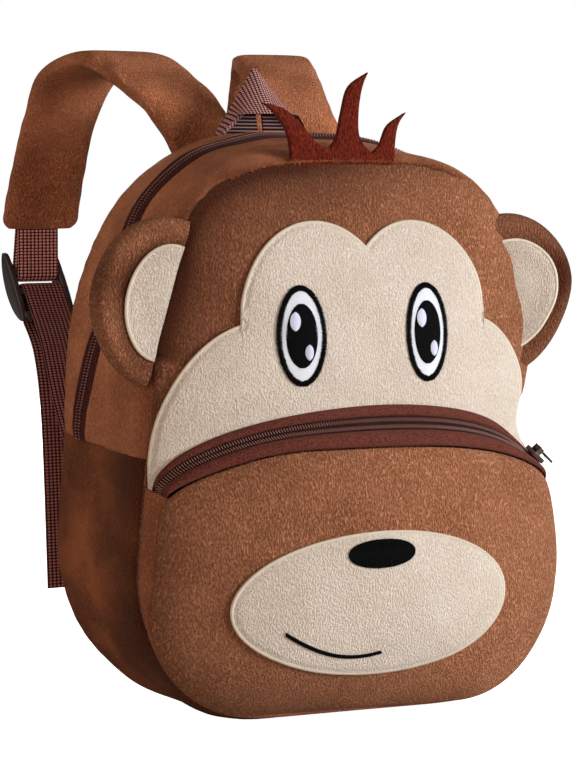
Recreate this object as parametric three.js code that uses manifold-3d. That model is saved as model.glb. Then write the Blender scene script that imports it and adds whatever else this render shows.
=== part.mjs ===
// A toddler's plush monkey backpack: crowned plush panels sewn to a gusset, a zipped front pocket
// that carries the muzzle, stuffed ears, felt hair, a webbing handle and two padded straps.
// Millimetres, +Z up. The face looks along -Y, and the origin is the middle of the flat foot.
import * as THREE from 'three';
import Module from 'manifold-3d';

// Cloth thicknesses and the gaps at the seams
const PLUSH = 2.4;
const PATCH = 1.6;
const THREAD = 0.8;
const TAPE = 1.1;
const WEBBING = 1.4;
const SEAM = 0.4;

// The bag's outline seen from the front, at its front seam and at its back seam.
// y: depth of the seam. foot, split, dome: half widths at the foot corners, at the side seams and
// where the dome starts. splitZ, top: heights. power: squareness of the dome. corner: foot radius.
const SECTIONS = {
  front: { y: -40, foot: 110.5, split: 105.5, dome: 102, splitZ: 124, top: 258, power: 3.3, corner: 70 },
  back: { y: 40, foot: 111, split: 107, dome: 106.5, splitZ: 131, top: 269.5, power: 2.35, corner: 77 },
};
const SEAM_LIFT = 3.5;
const DOME_Z = 143;
// The gusset swells between its seams and flattens in its middle, so that the bag stands on a wide foot
const GUSSET_BULGE = 4.5;
const GUSSET_FLATNESS = 8;
// The soft front is drawn in on its right, above the pocket zip, and swells below it: by pinch at height z,
// dying out over spread above and below it and towards SLUMP_BACK behind it
const SLUMPS = [
  { z: 131, spread: 17, pinch: 10 },
  { z: 68, spread: 45, pinch: -4 },
];
const SLUMP_BACK = 20;
// The pocket's foot hangs lower on its right than on its left: by drop, dying out up to height z
const POCKET_DROOP = { drop: 4.5, z: 60 };

// The front seam is drawn in beside the ears: by pinch at height z, dying out over spread
const TEMPLE = { z: 206, spread: 23, pinch: 8 };

// Panels: how far they swell and where their middle is
const FRONT = { middleZ: 143, crown: 23, fullness: 0.82 };
const BACK = { middleZ: 133, rise: 3.6, flatShare: 0.93 };
const POCKET = {
  foot: 108.5, side: 104.5, lift: 4, corner: 54, sideZ: 103, archRise: 24.5,
  middleZ: 66, frontY: -80, depth: 9.5, fullness: 0.75,
};

// Main zip across the gusset, as shares of its depth from front to back
const MAIN_ZIP = { frontShare: 0.66, backShare: 0.75, coilWidth: 3.6, sunk: 1 };
// It runs further forward over the shoulders than at the sides and the top
const ZIP_SWING = 1.6;

// Pocket zip: an arch from the front panel down to the pocket, split across its band
const POCKET_ZIP = {
  half: 103.5, sideZ: 110, archRise: 36, firstAngle: 5,
  coilStart: 0.25, coilEnd: 0.63, coilThickness: 2.4,
};

// The face: a patch of two forehead lobes over two cheeks, all of them parts of ellipses
const FACE = {
  lobe: { x: 26, z: 186, a: 38.5, b: 44.5 },
  cheek: { x: 55, z: 113, a: 48.5, b: 72.9 },
};
const EYE = { shiftX: -4, x: 33, z: 179, a: 12.2, b: 22.7, rim: 2.1, pupilA: 7.8, pupilB: 14.6 };
const GLINTS = [
  { name: 'upper', dx: -3.3, dz: 6.6, a: 2.7, b: 4.1 },
  { name: 'lower', dx: 3.3, dz: -7.4, a: 2.2, b: 3.4 },
];
const MUZZLE = { x: -6, z: 57.5, a: 71.5, b: 33.5 };
const NOSE = { x: -6.8, z: 81, a: 17.4, b: 6 };
const MOUTH = { left: -53, right: -4, leftZ: 46.5, rightZ: 35.5, sag: 5.5, width: 1.6 };

// Ears: half discs sewn in the front seam, with a rolled rim round a dished patch
// The soft ears don't stand alike: back is how far each one is turned backwards, in degrees.
const EAR = { rootX: 91.5, rootY: -35.5, rootZ: 194.5, lean: 12.4, half: 38.5 };
const EARS = [
  { side: 'left', sign: -1, back: 15, reach: 38, patchReach: 22 },
  { side: 'right', sign: 1, back: -6, reach: 37, patchReach: 26 },
];
const EAR_PATCH_HALF = 26.5;
const EAR_ROOT = 14;
const EAR_POWER = 2.2;
// share: from the middle of the root to the edge. front, rear: swell on either side.
const EAR_PROFILE = [
  { share: 0, front: 0.5, rear: 4.5 },
  { share: 0.5, front: 1, rear: 5.5 },
  { share: 0.68, front: 3.4, rear: 6 },
  { share: 0.83, front: 5.2, rear: 5.6 },
  { share: 0.95, front: 3.2, rear: 3.4 },
  { share: 1, front: 0, rear: 0 },
];

// Felt hair: three curved spikes, each from its left foot over its tip to its right foot
const HAIR = { y: -40.2, thickness: 2.6, footZ: 251, valleyZ: 263 };
const SPIKES = [
  { leftX: -30.5, tipX: -45.7, tipZ: 284.5, rightX: -9.5, leftBend: [-26, 277], rightBend: [-19, 281] },
  { leftX: -9.5, tipX: 9, tipZ: 298.5, rightX: 9.5, leftBend: [-7, 286], rightBend: [1, 277] },
  { leftX: 13, tipX: 31, tipZ: 280, rightX: 26, leftBend: [17, 271], rightBend: [22, 269] },
];

// Grab handle: one webbing folded to a peak, its two ends side by side in the back seam
const HANDLE = {
  half: 28, footZ: 261, peakZ: 304, shoulderZ: 268, bandZ: 281, legY: 42.5, bow: 11, legGap: 3, lean: 7.5,
};

// Shoulder pad, from the back panel up and over to its lower end. lean: way it runs, in degrees
// above +Y. The left strap is listed and the right one mirrors it.
const PAD_ROWS = [
  { x: -16, y: 44.5, z: 243, lean: 0, width: 28, thick: 10 },
  { x: -17, y: 54, z: 246, lean: 40, width: 31, thick: 12 },
  { x: -20, y: 60.5, z: 260, lean: 72, width: 36, thick: 12 },
  { x: -27, y: 66, z: 280, lean: 66, width: 42, thick: 12 },
  { x: -36, y: 80, z: 296, lean: 38, width: 45, thick: 12 },
  { x: -46, y: 102, z: 308, lean: 0, width: 46, thick: 12 },
  { x: -58, y: 124, z: 301, lean: -42, width: 44, thick: 12 },
  { x: -62, y: 139, z: 280, lean: -64, width: 41, thick: 12 },
  { x: -64.5, y: 147.5, z: 256, lean: -80, width: 41, thick: 12 },
  { x: -67.5, y: 150, z: 235, lean: -88, width: 42, thick: 11 },
  { x: -68.5, y: 150.2, z: 228, lean: -90, width: 40, thick: 9 },
  { x: -69, y: 150.3, z: 224, lean: -90, width: 36, thick: 7 },
];
const PAD_FACETS = 10;
// Behind the bag the right strap hangs nearer the middle by this much
const RIGHT_DRIFT = 8;

// Ladder-lock buckle, its foot swung towards the bag, and the webbing through it
const STRAP_WIDTH = 22;
const BUCKLE = { x: -70.5, y: 148, z: 195, tilt: 36, width: 30.4, height: 40, side: 3.5, bar: 4, thick: 3.2 };
// How far the buckle's sides are swept back from its bars
const BUCKLE_SWEEP = 6;
// Bars across the buckle, as heights above its middle
const BARS = { top: 8, middle: -3.5, bottom: -18 };
const BAR_CLEAR = 0.5;
// Lower strap, from the back panel up to the buckle's middle bar
const STRAP_ROWS = [
  { x: -78, y: 45.1, z: 38, lean: 90 },
  { x: -78, y: 45.3, z: 50, lean: 86 },
  { x: -79, y: 52, z: 78, lean: 70 },
  { x: -80, y: 68, z: 110, lean: 60 },
  { x: -79, y: 90, z: 141, lean: 52 },
  { x: -74, y: 114, z: 167, lean: 44 },
  { x: -70.6, y: 133.8, z: 183, lean: 44 },
];
// Its free end, from the middle bar down past the bottom bar
const TAIL_ROWS = [
  { x: -70.3, y: 143.4, z: 176.5, lean: -118 },
  { x: -68.5, y: 134.5, z: 160, lean: -103 },
  { x: -67.5, y: 128.5, z: 125, lean: -99 },
  { x: -70.5, y: 116, z: 44, lean: -98 },
];

// Zip sliders: bodies on the coils, and the pocket slider's hinged pull
const SLIDER = { width: 7, length: 9, thick: 2.2, clear: 1.2 };
const PULL = { pinRadius: 0.6, eye: 0.95, ring: 1.6, stand: 1.9, length: 11, width: 5, thick: 1.2, lug: 1.1 };
const POCKET_SLIDER_ANGLE = 16;
const MAIN_SLIDER_STEP = 2;

const COLOUR = {
  brown: 0x7a4a2c, cream: 0xe3cda8, maroon: 0x4a2522, coil: 0x33201f, black: 0x17151a,
  white: 0xf3f1ee, felt: 0x6b2a1a, plastic: 0x221a1a, metal: 0x4b4644,
};
const FINISH = {
  plush: { roughness: 0.95, metalness: 0 },
  thread: { roughness: 0.6, metalness: 0 },
  tape: { roughness: 0.8, metalness: 0 },
  plastic: { roughness: 0.35, metalness: 0 },
  metal: { roughness: 0.4, metalness: 1 },
};

const wasm = await Module();
wasm.setup();
const bag = new THREE.Group();
bag.name = 'plush_monkey_backpack';

// Cloth takes these slumps with it, and metal keeps its own shape
function settled(p) {
  const forward = THREE.MathUtils.clamp((SLUMP_BACK - p.y) / (SLUMP_BACK - SECTIONS.front.y), 0, 1);
  const side = THREE.MathUtils.clamp(p.x / SECTIONS.front.split, 0, 1) ** 2;
  const pull = SLUMPS.reduce((sum, { z, spread, pinch }) =>
    sum + pinch * Math.exp(-(((p.z - z) / spread) ** 2)), 0);
  const tilt = THREE.MathUtils.clamp(p.x / 90, -0.6, 1) * THREE.MathUtils.clamp(1 - p.z / POCKET_DROOP.z, 0, 1);
  const before = THREE.MathUtils.clamp((SECTIONS.front.y - 2 - p.y) / 10, 0, 1);
  return new THREE.Vector3(p.x - pull * forward * side, p.y, p.z - POCKET_DROOP.drop * tilt * before);
}

function settledGeometry(geometry) {
  const spot = geometry.attributes.position;
  for (let i = 0; i < spot.count; i++) {
    const { x, y, z } = settled(new THREE.Vector3().fromBufferAttribute(spot, i));
    spot.setXYZ(i, x, y, z);
  }
  geometry.computeVertexNormals();
  return geometry;
}

function add(name, geometry, colour, finish) {
  const material = new THREE.MeshStandardMaterial({ color: colour, ...finish });
  const shape = finish === FINISH.metal ? geometry : settledGeometry(geometry);
  const mesh = new THREE.Mesh(shape, material);
  mesh.name = name;
  bag.add(mesh);
}

const degrees = (angle) => angle * Math.PI / 180;
const mix = (a, b, share) => a + (b - a) * share;
const steps = (count, from = 0, to = 1) =>
  Array.from({ length: count + 1 }, (_, i) => mix(from, to, i / count));

// Closed bodies: merge the points, drop collapsed triangles and face outwards
function closedBody(points, triangles) {
  const place = new Map();
  const positions = [];
  const merged = points.map((p) => {
    const key = [p.x, p.y, p.z].map((v) => Math.round(v * 1e3)).join();
    if (!place.has(key)) {
      place.set(key, positions.length / 3);
      positions.push(p.x, p.y, p.z);
    }
    return place.get(key);
  });
  const index = [];
  let volume = 0;
  const corner = (i) => new THREE.Vector3().fromArray(positions, 3 * i);
  for (const [a, b, c] of triangles.map((t) => t.map((i) => merged[i]))) {
    if (a === b || b === c || c === a) continue;
    index.push(a, b, c);
    volume += corner(a).dot(corner(b).cross(corner(c)));
  }
  if (volume < 0) index.reverse();
  const geometry = new THREE.BufferGeometry();
  geometry.setAttribute('position', new THREE.Float32BufferAttribute(positions, 3));
  geometry.setIndex(index);
  geometry.computeVertexNormals();
  return geometry;
}

// A body through closed rings of equally many points, with a fan over each end
function ringBody(rings) {
  const count = rings[0].length;
  const points = rings.flat();
  const triangles = [];
  for (let r = 0; r + 1 < rings.length; r++) {
    for (let i = 0; i < count; i++) {
      const a = r * count + i;
      const b = r * count + (i + 1) % count;
      triangles.push([a, b, b + count], [a, b + count, a + count]);
    }
  }
  for (const [ring, turn] of [[0, true], [rings.length - 1, false]]) {
    const hub = points.length;
    const sum = rings[ring].reduce((s, p) => s.add(p), new THREE.Vector3());
    points.push(sum.divideScalar(count));
    for (let i = 0; i < count; i++) {
      const a = ring * count + i;
      const b = ring * count + (i + 1) % count;
      triangles.push(turn ? [hub, b, a] : [hub, a, b]);
    }
  }
  return closedBody(points, triangles);
}

// A wall between two grids of points with the same rows and columns
function gridWall(outer, inner) {
  const rows = outer.length;
  const columns = outer[0].length;
  const points = [...outer.flat(), ...inner.flat()];
  const at = (side, r, c) => side * rows * columns + r * columns + c;
  const triangles = [];
  const quad = (a, b, c, d) => triangles.push([a, b, c], [a, c, d]);
  for (let r = 0; r + 1 < rows; r++) {
    for (let c = 0; c + 1 < columns; c++) {
      quad(at(0, r, c), at(0, r, c + 1), at(0, r + 1, c + 1), at(0, r + 1, c));
      quad(at(1, r, c), at(1, r + 1, c), at(1, r + 1, c + 1), at(1, r, c + 1));
    }
    quad(at(0, r, 0), at(0, r + 1, 0), at(1, r + 1, 0), at(1, r, 0));
    const last = columns - 1;
    quad(at(0, r, last), at(1, r, last), at(1, r + 1, last), at(0, r + 1, last));
  }
  for (let c = 0; c + 1 < columns; c++) {
    quad(at(0, 0, c), at(1, 0, c), at(1, 0, c + 1), at(0, 0, c + 1));
    const last = rows - 1;
    quad(at(0, last, c), at(0, last, c + 1), at(1, last, c + 1), at(1, last, c));
  }
  return closedBody(points, triangles);
}

// A wall between two sets of closed rings, joined at the first and the last ring
function hoopWall(outer, inner) {
  const loop = (ring) => [...ring, ring[0]];
  return gridWall(outer.map(loop), inner.map(loop));
}

// Booleans
function solid(geometry) {
  return new wasm.Manifold(new wasm.Mesh({
    numProp: 3,
    vertProperties: new Float32Array(geometry.attributes.position.array),
    triVerts: new Uint32Array(geometry.index.array),
  }));
}

function geometryOf(manifold) {
  const mesh = manifold.getMesh();
  const points = [];
  for (let i = 0; i < mesh.numVert; i++) {
    points.push(new THREE.Vector3().fromArray(mesh.vertProperties, i * mesh.numProp));
  }
  const triangles = [];
  for (let i = 0; i < mesh.numTri; i++) triangles.push([...mesh.triVerts.slice(3 * i, 3 * i + 3)]);
  return closedBody(points, triangles);
}

const cut = (geometry, tool) => geometryOf(solid(geometry).subtract(solid(tool)));
const join = (...pieces) => geometryOf(pieces.map(solid).reduce((a, b) => a.add(b)));

function welded(geometry) {
  const flat = geometry.index ? geometry.toNonIndexed() : geometry;
  const spot = flat.attributes.position;
  const points = steps(spot.count - 1, 0, spot.count - 1)
    .map((i) => new THREE.Vector3().fromBufferAttribute(spot, Math.round(i)));
  return closedBody(points, steps(spot.count / 3 - 1, 0, spot.count / 3 - 1)
    .map((t) => [3 * Math.round(t), 3 * Math.round(t) + 1, 3 * Math.round(t) + 2]));
}

// The bag's outline

// From the middle of the foot round a corner and up one side to sideZ
function footPath({ foot, corner, split, lift, splitZ }, sideZ) {
  const path = [];
  const middle = { x: foot - corner, z: lift + corner };
  for (const s of steps(2)) path.push({ x: middle.x * s, z: lift });
  for (const angle of steps(5, -90, 0).slice(1)) {
    path.push({
      x: middle.x + corner * Math.cos(degrees(angle)),
      z: middle.z + corner * Math.sin(degrees(angle)),
    });
  }
  for (const s of steps(2).slice(1)) {
    const z = mix(middle.z, sideZ, s);
    path.push({ x: mix(foot, split, (z - middle.z) / (splitZ - middle.z)), z });
  }
  return path;
}

function sectionAt(share) {
  const section = { lift: SEAM_LIFT };
  for (const key of Object.keys(SECTIONS.front)) {
    section[key] = mix(SECTIONS.front[key], SECTIONS.back[key], share);
  }
  return section;
}

function halfOutline(share) {
  const section = sectionAt(share);
  const path = footPath(section, section.splitZ);
  for (const angle of [0, 3, ...steps(9, 9, 90)]) {
    const wide = Math.max(Math.cos(degrees(angle)), 0) ** (2 / section.power);
    const tall = Math.sin(degrees(angle)) ** (2 / section.power);
    const z = mix(DOME_Z, section.top, tall);
    const drawn = TEMPLE.pinch * (1 - share) * Math.exp(-(((z - TEMPLE.z) / TEMPLE.spread) ** 2));
    path.push({ x: (section.dome - drawn) * wide, z });
  }
  return path;
}

const HALF_COUNT = halfOutline(0).length - 1;
const SPLIT_INDEX = footPath(sectionAt(0), SECTIONS.front.splitZ).length - 1;

// The whole outline, up the right side and down the left, with each point's outward normal
function closedLine(half) {
  const line = [...half, ...half.slice(1, -1).reverse().map((p) => ({ x: -p.x, z: p.z }))];
  return line.map((p, i) => {
    const next = line[(i + 1) % line.length];
    const last = line[(i + line.length - 1) % line.length];
    const length = Math.hypot(next.x - last.x, next.z - last.z);
    return { ...p, nx: (next.z - last.z) / length, nz: (last.x - next.x) / length };
  });
}

const bulgeAt = (share) => GUSSET_BULGE * (1 - (2 * share - 1) ** GUSSET_FLATNESS);
const grown = (p, by) => ({ ...p, x: p.x + p.nx * by, z: p.z + p.nz * by });

function gussetRing(share, grow) {
  const { y } = sectionAt(share);
  return closedLine(halfOutline(share)).map((p) => {
    const out = grown(p, bulgeAt(share));
    const seat = grown({ ...out, z: Math.max(out.z, 0) }, grow);
    return new THREE.Vector3(seat.x, y, seat.z);
  });
}

// One point of a strip's row, moved forward where the zip swings over a shoulder
function stripPoint(share, grow, index) {
  const line = closedLine(halfOutline(share));
  const place = (index + line.length) % line.length;
  const rise = (line[place].z - DOME_Z) / (sectionAt(share).top - DOME_Z);
  const up = THREE.MathUtils.clamp(rise, 0, 1);
  const shoulder = Math.sqrt(1 - up ** 12) * Math.min(1, up / 0.45);
  return gussetRing(share - ZIP_SWING * shoulder * share ** 2 * (1 - share), grow)[place];
}

// A strip of the gusset between two depths, over the top or round the foot
function gussetStrip(shares, part, outerGrow, innerGrow) {
  const low = [...steps(2 * SPLIT_INDEX, -SPLIT_INDEX, SPLIT_INDEX)].map(Math.round);
  const high = steps(2 * (HALF_COUNT - SPLIT_INDEX), SPLIT_INDEX, 2 * HALF_COUNT - SPLIT_INDEX)
    .map(Math.round);
  const picks = part === 'high' ? high : low;
  const row = (share, grow) => {
    const line = picks.map((i) => stripPoint(share, grow, i));
    const last = line.length - 1;
    const pull = (end, to) => line[end].add(line[to].clone().sub(line[end]).setLength(SEAM / 2));
    pull(0, 1);
    pull(last, last - 1);
    return line;
  };
  return gridWall(
    shares.map((s) => row(s, outerGrow)),
    shares.map((s) => row(s, innerGrow)),
  );
}

const DEPTH = SECTIONS.back.y - SECTIONS.front.y;
const seamShare = SEAM / 2 / DEPTH;

// Crowned panels: a depth for each place inside an outline, from the rim's to the middle's

function crownedSurface(outline, middleZ, rimY, middleY, fullness) {
  // Share of the way from the middle to the rim, and the rim's point there
  const reach = (x, z) => {
    const dx = x;
    const dz = z - middleZ;
    if (Math.hypot(dx, dz) < 1e-6) return { share: 0, rim: outline[0] };
    for (let i = 0; i < outline.length; i++) {
      const a = outline[i];
      const b = outline[(i + 1) % outline.length];
      const az = a.z - middleZ;
      const cross = dx * (b.z - a.z) - dz * (b.x - a.x);
      if (Math.abs(cross) < 1e-9) continue;
      const far = (a.x * (b.z - a.z) - az * (b.x - a.x)) / cross;
      const along = (a.x * dz - az * dx) / cross;
      if (far > 0 && along >= -1e-6 && along <= 1 + 1e-6) {
        return { share: Math.min(1 / far, 1), rim: { x: dx * far, z: middleZ + dz * far } };
      }
    }
    return { share: 1, rim: { x, z } };
  };
  const depth = (x, z) => {
    const { share, rim } = reach(x, z);
    return mix(rimY(rim), middleY, (1 - share ** 2) ** fullness);
  };
  const normal = (x, z) => {
    const { share } = reach(x, z);
    const inward = Math.min(1, 0.985 / Math.max(share, 1e-6));
    const at = { x: x * inward, z: middleZ + (z - middleZ) * inward };
    const step = 0.5;
    const slopeX = (depth(at.x + step, at.z) - depth(at.x - step, at.z)) / (2 * step);
    const slopeZ = (depth(at.x, at.z + step) - depth(at.x, at.z - step)) / (2 * step);
    return new THREE.Vector3(slopeX, -1, slopeZ).normalize();
  };
  // A point lifted off the surface, never further back than the rim
  const point = (x, z, lift = 0) => {
    const spot = new THREE.Vector3(x, depth(x, z), z).addScaledVector(normal(x, z), lift);
    spot.y = Math.min(spot.y, rimY(reach(x, z).rim));
    return spot;
  };
  return { outline, middleZ, depth, point };
}

// A panel over the whole of a crowned surface
function panelWall(surface, shares, thickness) {
  const ring = (share, lift) => surface.outline.map((p) =>
    surface.point(p.x * share, mix(surface.middleZ, p.z, share), lift));
  return hoopWall(shares.map((s) => ring(s, 0)), shares.map((s) => ring(s, -thickness)));
}

// A patch inside an outline of {x, z} points on a crowned surface
function patchWall(surface, outline, middle, shares, lift, thickness) {
  const ring = (share, height) => outline.map((p) =>
    surface.point(mix(middle.x, p.x, share), mix(middle.z, p.z, share), height));
  return hoopWall(
    shares.map((s) => ring(s, lift + thickness)),
    shares.map((s) => ring(s, lift)),
  );
}

const ellipse = (x, z, a, b, count) => steps(count, 0, 360).slice(0, -1).map((angle) => ({
  x: x + a * Math.cos(degrees(angle)),
  z: z + b * Math.sin(degrees(angle)),
}));

const frontRim = SECTIONS.front.y - SEAM / 2;
const front = crownedSurface(
  closedLine(halfOutline(0)), FRONT.middleZ,
  () => frontRim, frontRim - FRONT.crown, FRONT.fullness,
);

const pocketShape = {
  foot: POCKET.foot, split: POCKET.side, corner: POCKET.corner, lift: POCKET.lift, splitZ: POCKET.sideZ,
};
const pocketHalf = [
  ...footPath(pocketShape, POCKET.sideZ),
  ...steps(8, 0, 90).slice(1).map((angle) => ({
    x: POCKET.side * Math.cos(degrees(angle)),
    z: POCKET.sideZ + POCKET.archRise * Math.sin(degrees(angle)),
  })),
];
const pocketRim = (p) => front.depth(p.x, p.z) - POCKET.depth;
const pocket = crownedSurface(
  closedLine(pocketHalf), POCKET.middleZ, pocketRim, POCKET.frontY, POCKET.fullness,
);

// Main body
const RINGS = [0, 0.3, 0.55, 0.76, 0.9, 0.97, 1];
add('front_panel', panelWall(front, RINGS, PLUSH), COLOUR.brown, FINISH.plush);

const backLine = closedLine(halfOutline(1));
const backRow = (share, y) => backLine.map((p) =>
  new THREE.Vector3(p.x * share, y, mix(BACK.middleZ, p.z, share)));
const backRim = SECTIONS.back.y + SEAM / 2;
add('back_panel', hoopWall(
  [
    backRow(0, backRim + BACK.rise), backRow(BACK.flatShare, backRim + BACK.rise),
    backRow(0.98, backRim + 0.6 * BACK.rise), backRow(1, backRim),
  ],
  [
    backRow(0, backRim + BACK.rise - PLUSH), backRow(0.9, backRim + BACK.rise - PLUSH),
    backRow(0.955, backRim + 0.4), backRow(0.975, backRim),
  ],
), COLOUR.brown, FINISH.plush);

add('gusset_front_strip', gussetStrip(
  [seamShare, 0.1, 0.25, 0.4, 0.54, MAIN_ZIP.frontShare], 'high', 0, -PLUSH,
), COLOUR.brown, FINISH.plush);
add('gusset_back_strip', gussetStrip(
  [MAIN_ZIP.backShare, 0.91, 1 - seamShare], 'high', 0, -PLUSH,
), COLOUR.brown, FINISH.plush);
add('gusset_base', gussetStrip(
  [seamShare, 0.1, 0.3, 0.5, 0.7, 0.9, 1 - seamShare], 'low', 0, -PLUSH,
), COLOUR.brown, FINISH.plush);

// Main zip
const zipGap = SEAM / DEPTH;
const zipMiddle = (MAIN_ZIP.frontShare + MAIN_ZIP.backShare) / 2;
const coilHalf = MAIN_ZIP.coilWidth / 2 / DEPTH;
add('main_zip_tape', gussetStrip(
  [MAIN_ZIP.frontShare + zipGap, zipMiddle, MAIN_ZIP.backShare - zipGap],
  'high', -MAIN_ZIP.sunk, -MAIN_ZIP.sunk - TAPE,
), COLOUR.maroon, FINISH.tape);
add('main_zip_coil', gussetStrip(
  [zipMiddle - coilHalf, zipMiddle, zipMiddle + coilHalf], 'high', 1, -MAIN_ZIP.sunk + SEAM,
), COLOUR.coil, FINISH.plastic);

const zipSpot = stripPoint(zipMiddle, 1 + SEAM, SPLIT_INDEX + MAIN_SLIDER_STEP);
const mainSlider = new THREE.BoxGeometry(SLIDER.thick, SLIDER.width, SLIDER.length);
mainSlider.translate(zipSpot.x + SLIDER.thick / 2 + 0.3, zipSpot.y, zipSpot.z - SLIDER.length / 2);
add('main_zip_slider', welded(mainSlider), COLOUR.metal, FINISH.metal);

// Pocket
add('pocket_panel', panelWall(pocket, RINGS, PLUSH), COLOUR.brown, FINISH.plush);

const GUSSET_PLUSH = 2;
const seamFoot = footPath(sectionAt(0), POCKET.sideZ - SEAM);
const rimFoot = footPath(pocketShape, POCKET.sideZ - SEAM);
const both = (half) => [...half.slice(1).reverse().map((p) => ({ ...p, x: -p.x })), ...half];
const sideRow = (half, inset, depth) => {
  const line = closedLine([...half, { x: 0, z: FRONT.middleZ }]);
  const picked = line.slice(0, half.length).map((p) => ({ ...grown(p, -inset), y: depth(p) }));
  picked[half.length - 1].z = half[half.length - 1].z;
  return both(picked).map((p) => new THREE.Vector3(p.x, p.y, p.z));
};
const midFoot = seamFoot.map((p, i) => ({ x: mix(p.x, rimFoot[i].x, 0.5), z: mix(p.z, rimFoot[i].z, 0.5) }));
const pocketRow = (inset) => [
  sideRow(seamFoot, inset, () => SECTIONS.front.y - 2.2),
  sideRow(midFoot, inset - 1.5, () => SECTIONS.front.y - 6.5),
  sideRow(rimFoot, inset, (p) => pocketRim(p) + SEAM),
];
add('pocket_gusset', gridWall(pocketRow(0), pocketRow(GUSSET_PLUSH)), COLOUR.brown, FINISH.plush);

// Pocket zip
const zipAngles = steps(18, POCKET_ZIP.firstAngle, 180 - POCKET_ZIP.firstAngle);
const zipBand = (angle, share, lift) => {
  const c = Math.cos(degrees(angle));
  const s = Math.sin(degrees(angle));
  const top = front.point(POCKET_ZIP.half * c, POCKET_ZIP.sideZ + POCKET_ZIP.archRise * s, SEAM + TAPE);
  const low = { x: POCKET.side * c, z: POCKET.sideZ + POCKET.archRise * s };
  const bottom = new THREE.Vector3(low.x, pocketRim(low), low.z + SEAM + TAPE);
  const out = new THREE.Vector3(0.5 * c, -0.75, 0.65).normalize();
  return top.lerp(bottom, share).addScaledVector(out, lift);
};
const zipStrip = (from, to, low, high) => {
  const grid = (lift) => steps(2, from, to).map((share) => zipAngles.map((a) => zipBand(a, share, lift)));
  return gridWall(grid(high), grid(low));
};
add('pocket_zip_upper_tape', zipStrip(0, POCKET_ZIP.coilStart, 0, TAPE), COLOUR.maroon, FINISH.tape);
add('pocket_zip_lower_tape', zipStrip(POCKET_ZIP.coilEnd, 1, 0, TAPE), COLOUR.maroon, FINISH.tape);
const coilGap = 0.02;
add('pocket_zip_coil', zipStrip(
  POCKET_ZIP.coilStart + coilGap, POCKET_ZIP.coilEnd - coilGap, -0.6, POCKET_ZIP.coilThickness - 0.6,
), COLOUR.coil, FINISH.plastic);

// Pocket slider, and its pull hanging on a pin between two lugs
const block = (x, y, z, place) => welded(new THREE.BoxGeometry(x, y, z).translate(...place));
const round = (radius, length, facets, place) =>
  welded(new THREE.CylinderGeometry(radius, radius, length, facets).translate(...place));
const PULL_NECK = 2;
const PULL_NECK_LENGTH = 4.2;
const lugY = (PULL.lug + PULL_NECK) / 2 + 0.3;
const lugHeight = PULL.stand + PULL.ring;
const lug = (side) => block(lugHeight, PULL.lug, 2 * PULL.ring, [lugHeight / 2 - 0.2, side * lugY, 0]);
const slider = join(
  block(SLIDER.thick, SLIDER.width, SLIDER.length, [-SLIDER.thick / 2, 0, -1]),
  lug(1), lug(-1),
  round(PULL.pinRadius, 2 * lugY, 12, [PULL.stand, 0, 0]),
);
const pull = cut(
  join(
    round(PULL.ring, PULL_NECK, 16, [PULL.stand, 0, 0]),
    block(PULL.thick, PULL_NECK, PULL_NECK_LENGTH, [PULL.stand, 0, -PULL_NECK_LENGTH / 2 - PULL.eye]),
    block(PULL.thick, PULL.width, PULL.length - PULL_NECK_LENGTH, [
      PULL.stand, 0, -(PULL.length + PULL_NECK_LENGTH) / 2,
    ]),
  ),
  round(PULL.eye, 2 * PULL.width, 16, [PULL.stand, 0, 0]),
);
const coilMiddle = (POCKET_ZIP.coilStart + POCKET_ZIP.coilEnd) / 2;
const coilTop = POCKET_ZIP.coilThickness - 0.6 + SLIDER.clear + SLIDER.thick;
const onCoil = (turn, across) => settled(zipBand(POCKET_SLIDER_ANGLE + turn, coilMiddle + across, coilTop));
const alongCoil = onCoil(1, 0).sub(onCoil(-1, 0)).normalize();
const offCoil = alongCoil.clone().cross(onCoil(0, -0.1).sub(onCoil(0, 0.1))).normalize().negate();
const sliderPlace = new THREE.Matrix4()
  .makeBasis(offCoil, alongCoil.clone().cross(offCoil), alongCoil)
  .setPosition(onCoil(0, 0));
for (const piece of [slider, pull]) piece.applyMatrix4(sliderPlace);
add('pocket_zip_slider', slider, COLOUR.metal, FINISH.metal);
add('pocket_zip_pull', pull, COLOUR.metal, FINISH.metal);

// Face patch: columns from the zip's arch up to the cheeks and the forehead lobes
const cheekColumns = steps(6, 8, 78.7).map((angle) => ({
  x: FACE.cheek.x + FACE.cheek.a * Math.cos(degrees(angle)),
  top: FACE.cheek.z + FACE.cheek.b * Math.sin(degrees(angle)),
}));
const lobeColumns = steps(8, 10, 132.5).map((angle) => ({
  x: FACE.lobe.x + FACE.lobe.a * Math.cos(degrees(angle)),
  top: FACE.lobe.z + FACE.lobe.b * Math.sin(degrees(angle)),
}));
const faceHalf = [...cheekColumns, ...lobeColumns];
const faceColumns = [...faceHalf, ...faceHalf.slice(0, -1).reverse().map((c) => ({ ...c, x: -c.x }))];
const faceLow = (x) => {
  const share = Math.min(Math.abs(x) / POCKET_ZIP.half, 1);
  return POCKET_ZIP.sideZ + POCKET_ZIP.archRise * Math.sqrt(1 - share ** 2) + 2.2;
};
const PATCH_LIFT = 1.1;
const faceGrid = (lift) => steps(4).map((share) => faceColumns.map((c) =>
  front.point(c.x, mix(faceLow(c.x), c.top, share), lift)));
add('face_patch', gridWall(faceGrid(PATCH_LIFT + PATCH), faceGrid(PATCH_LIFT)), COLOUR.cream, FINISH.plush);

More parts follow.
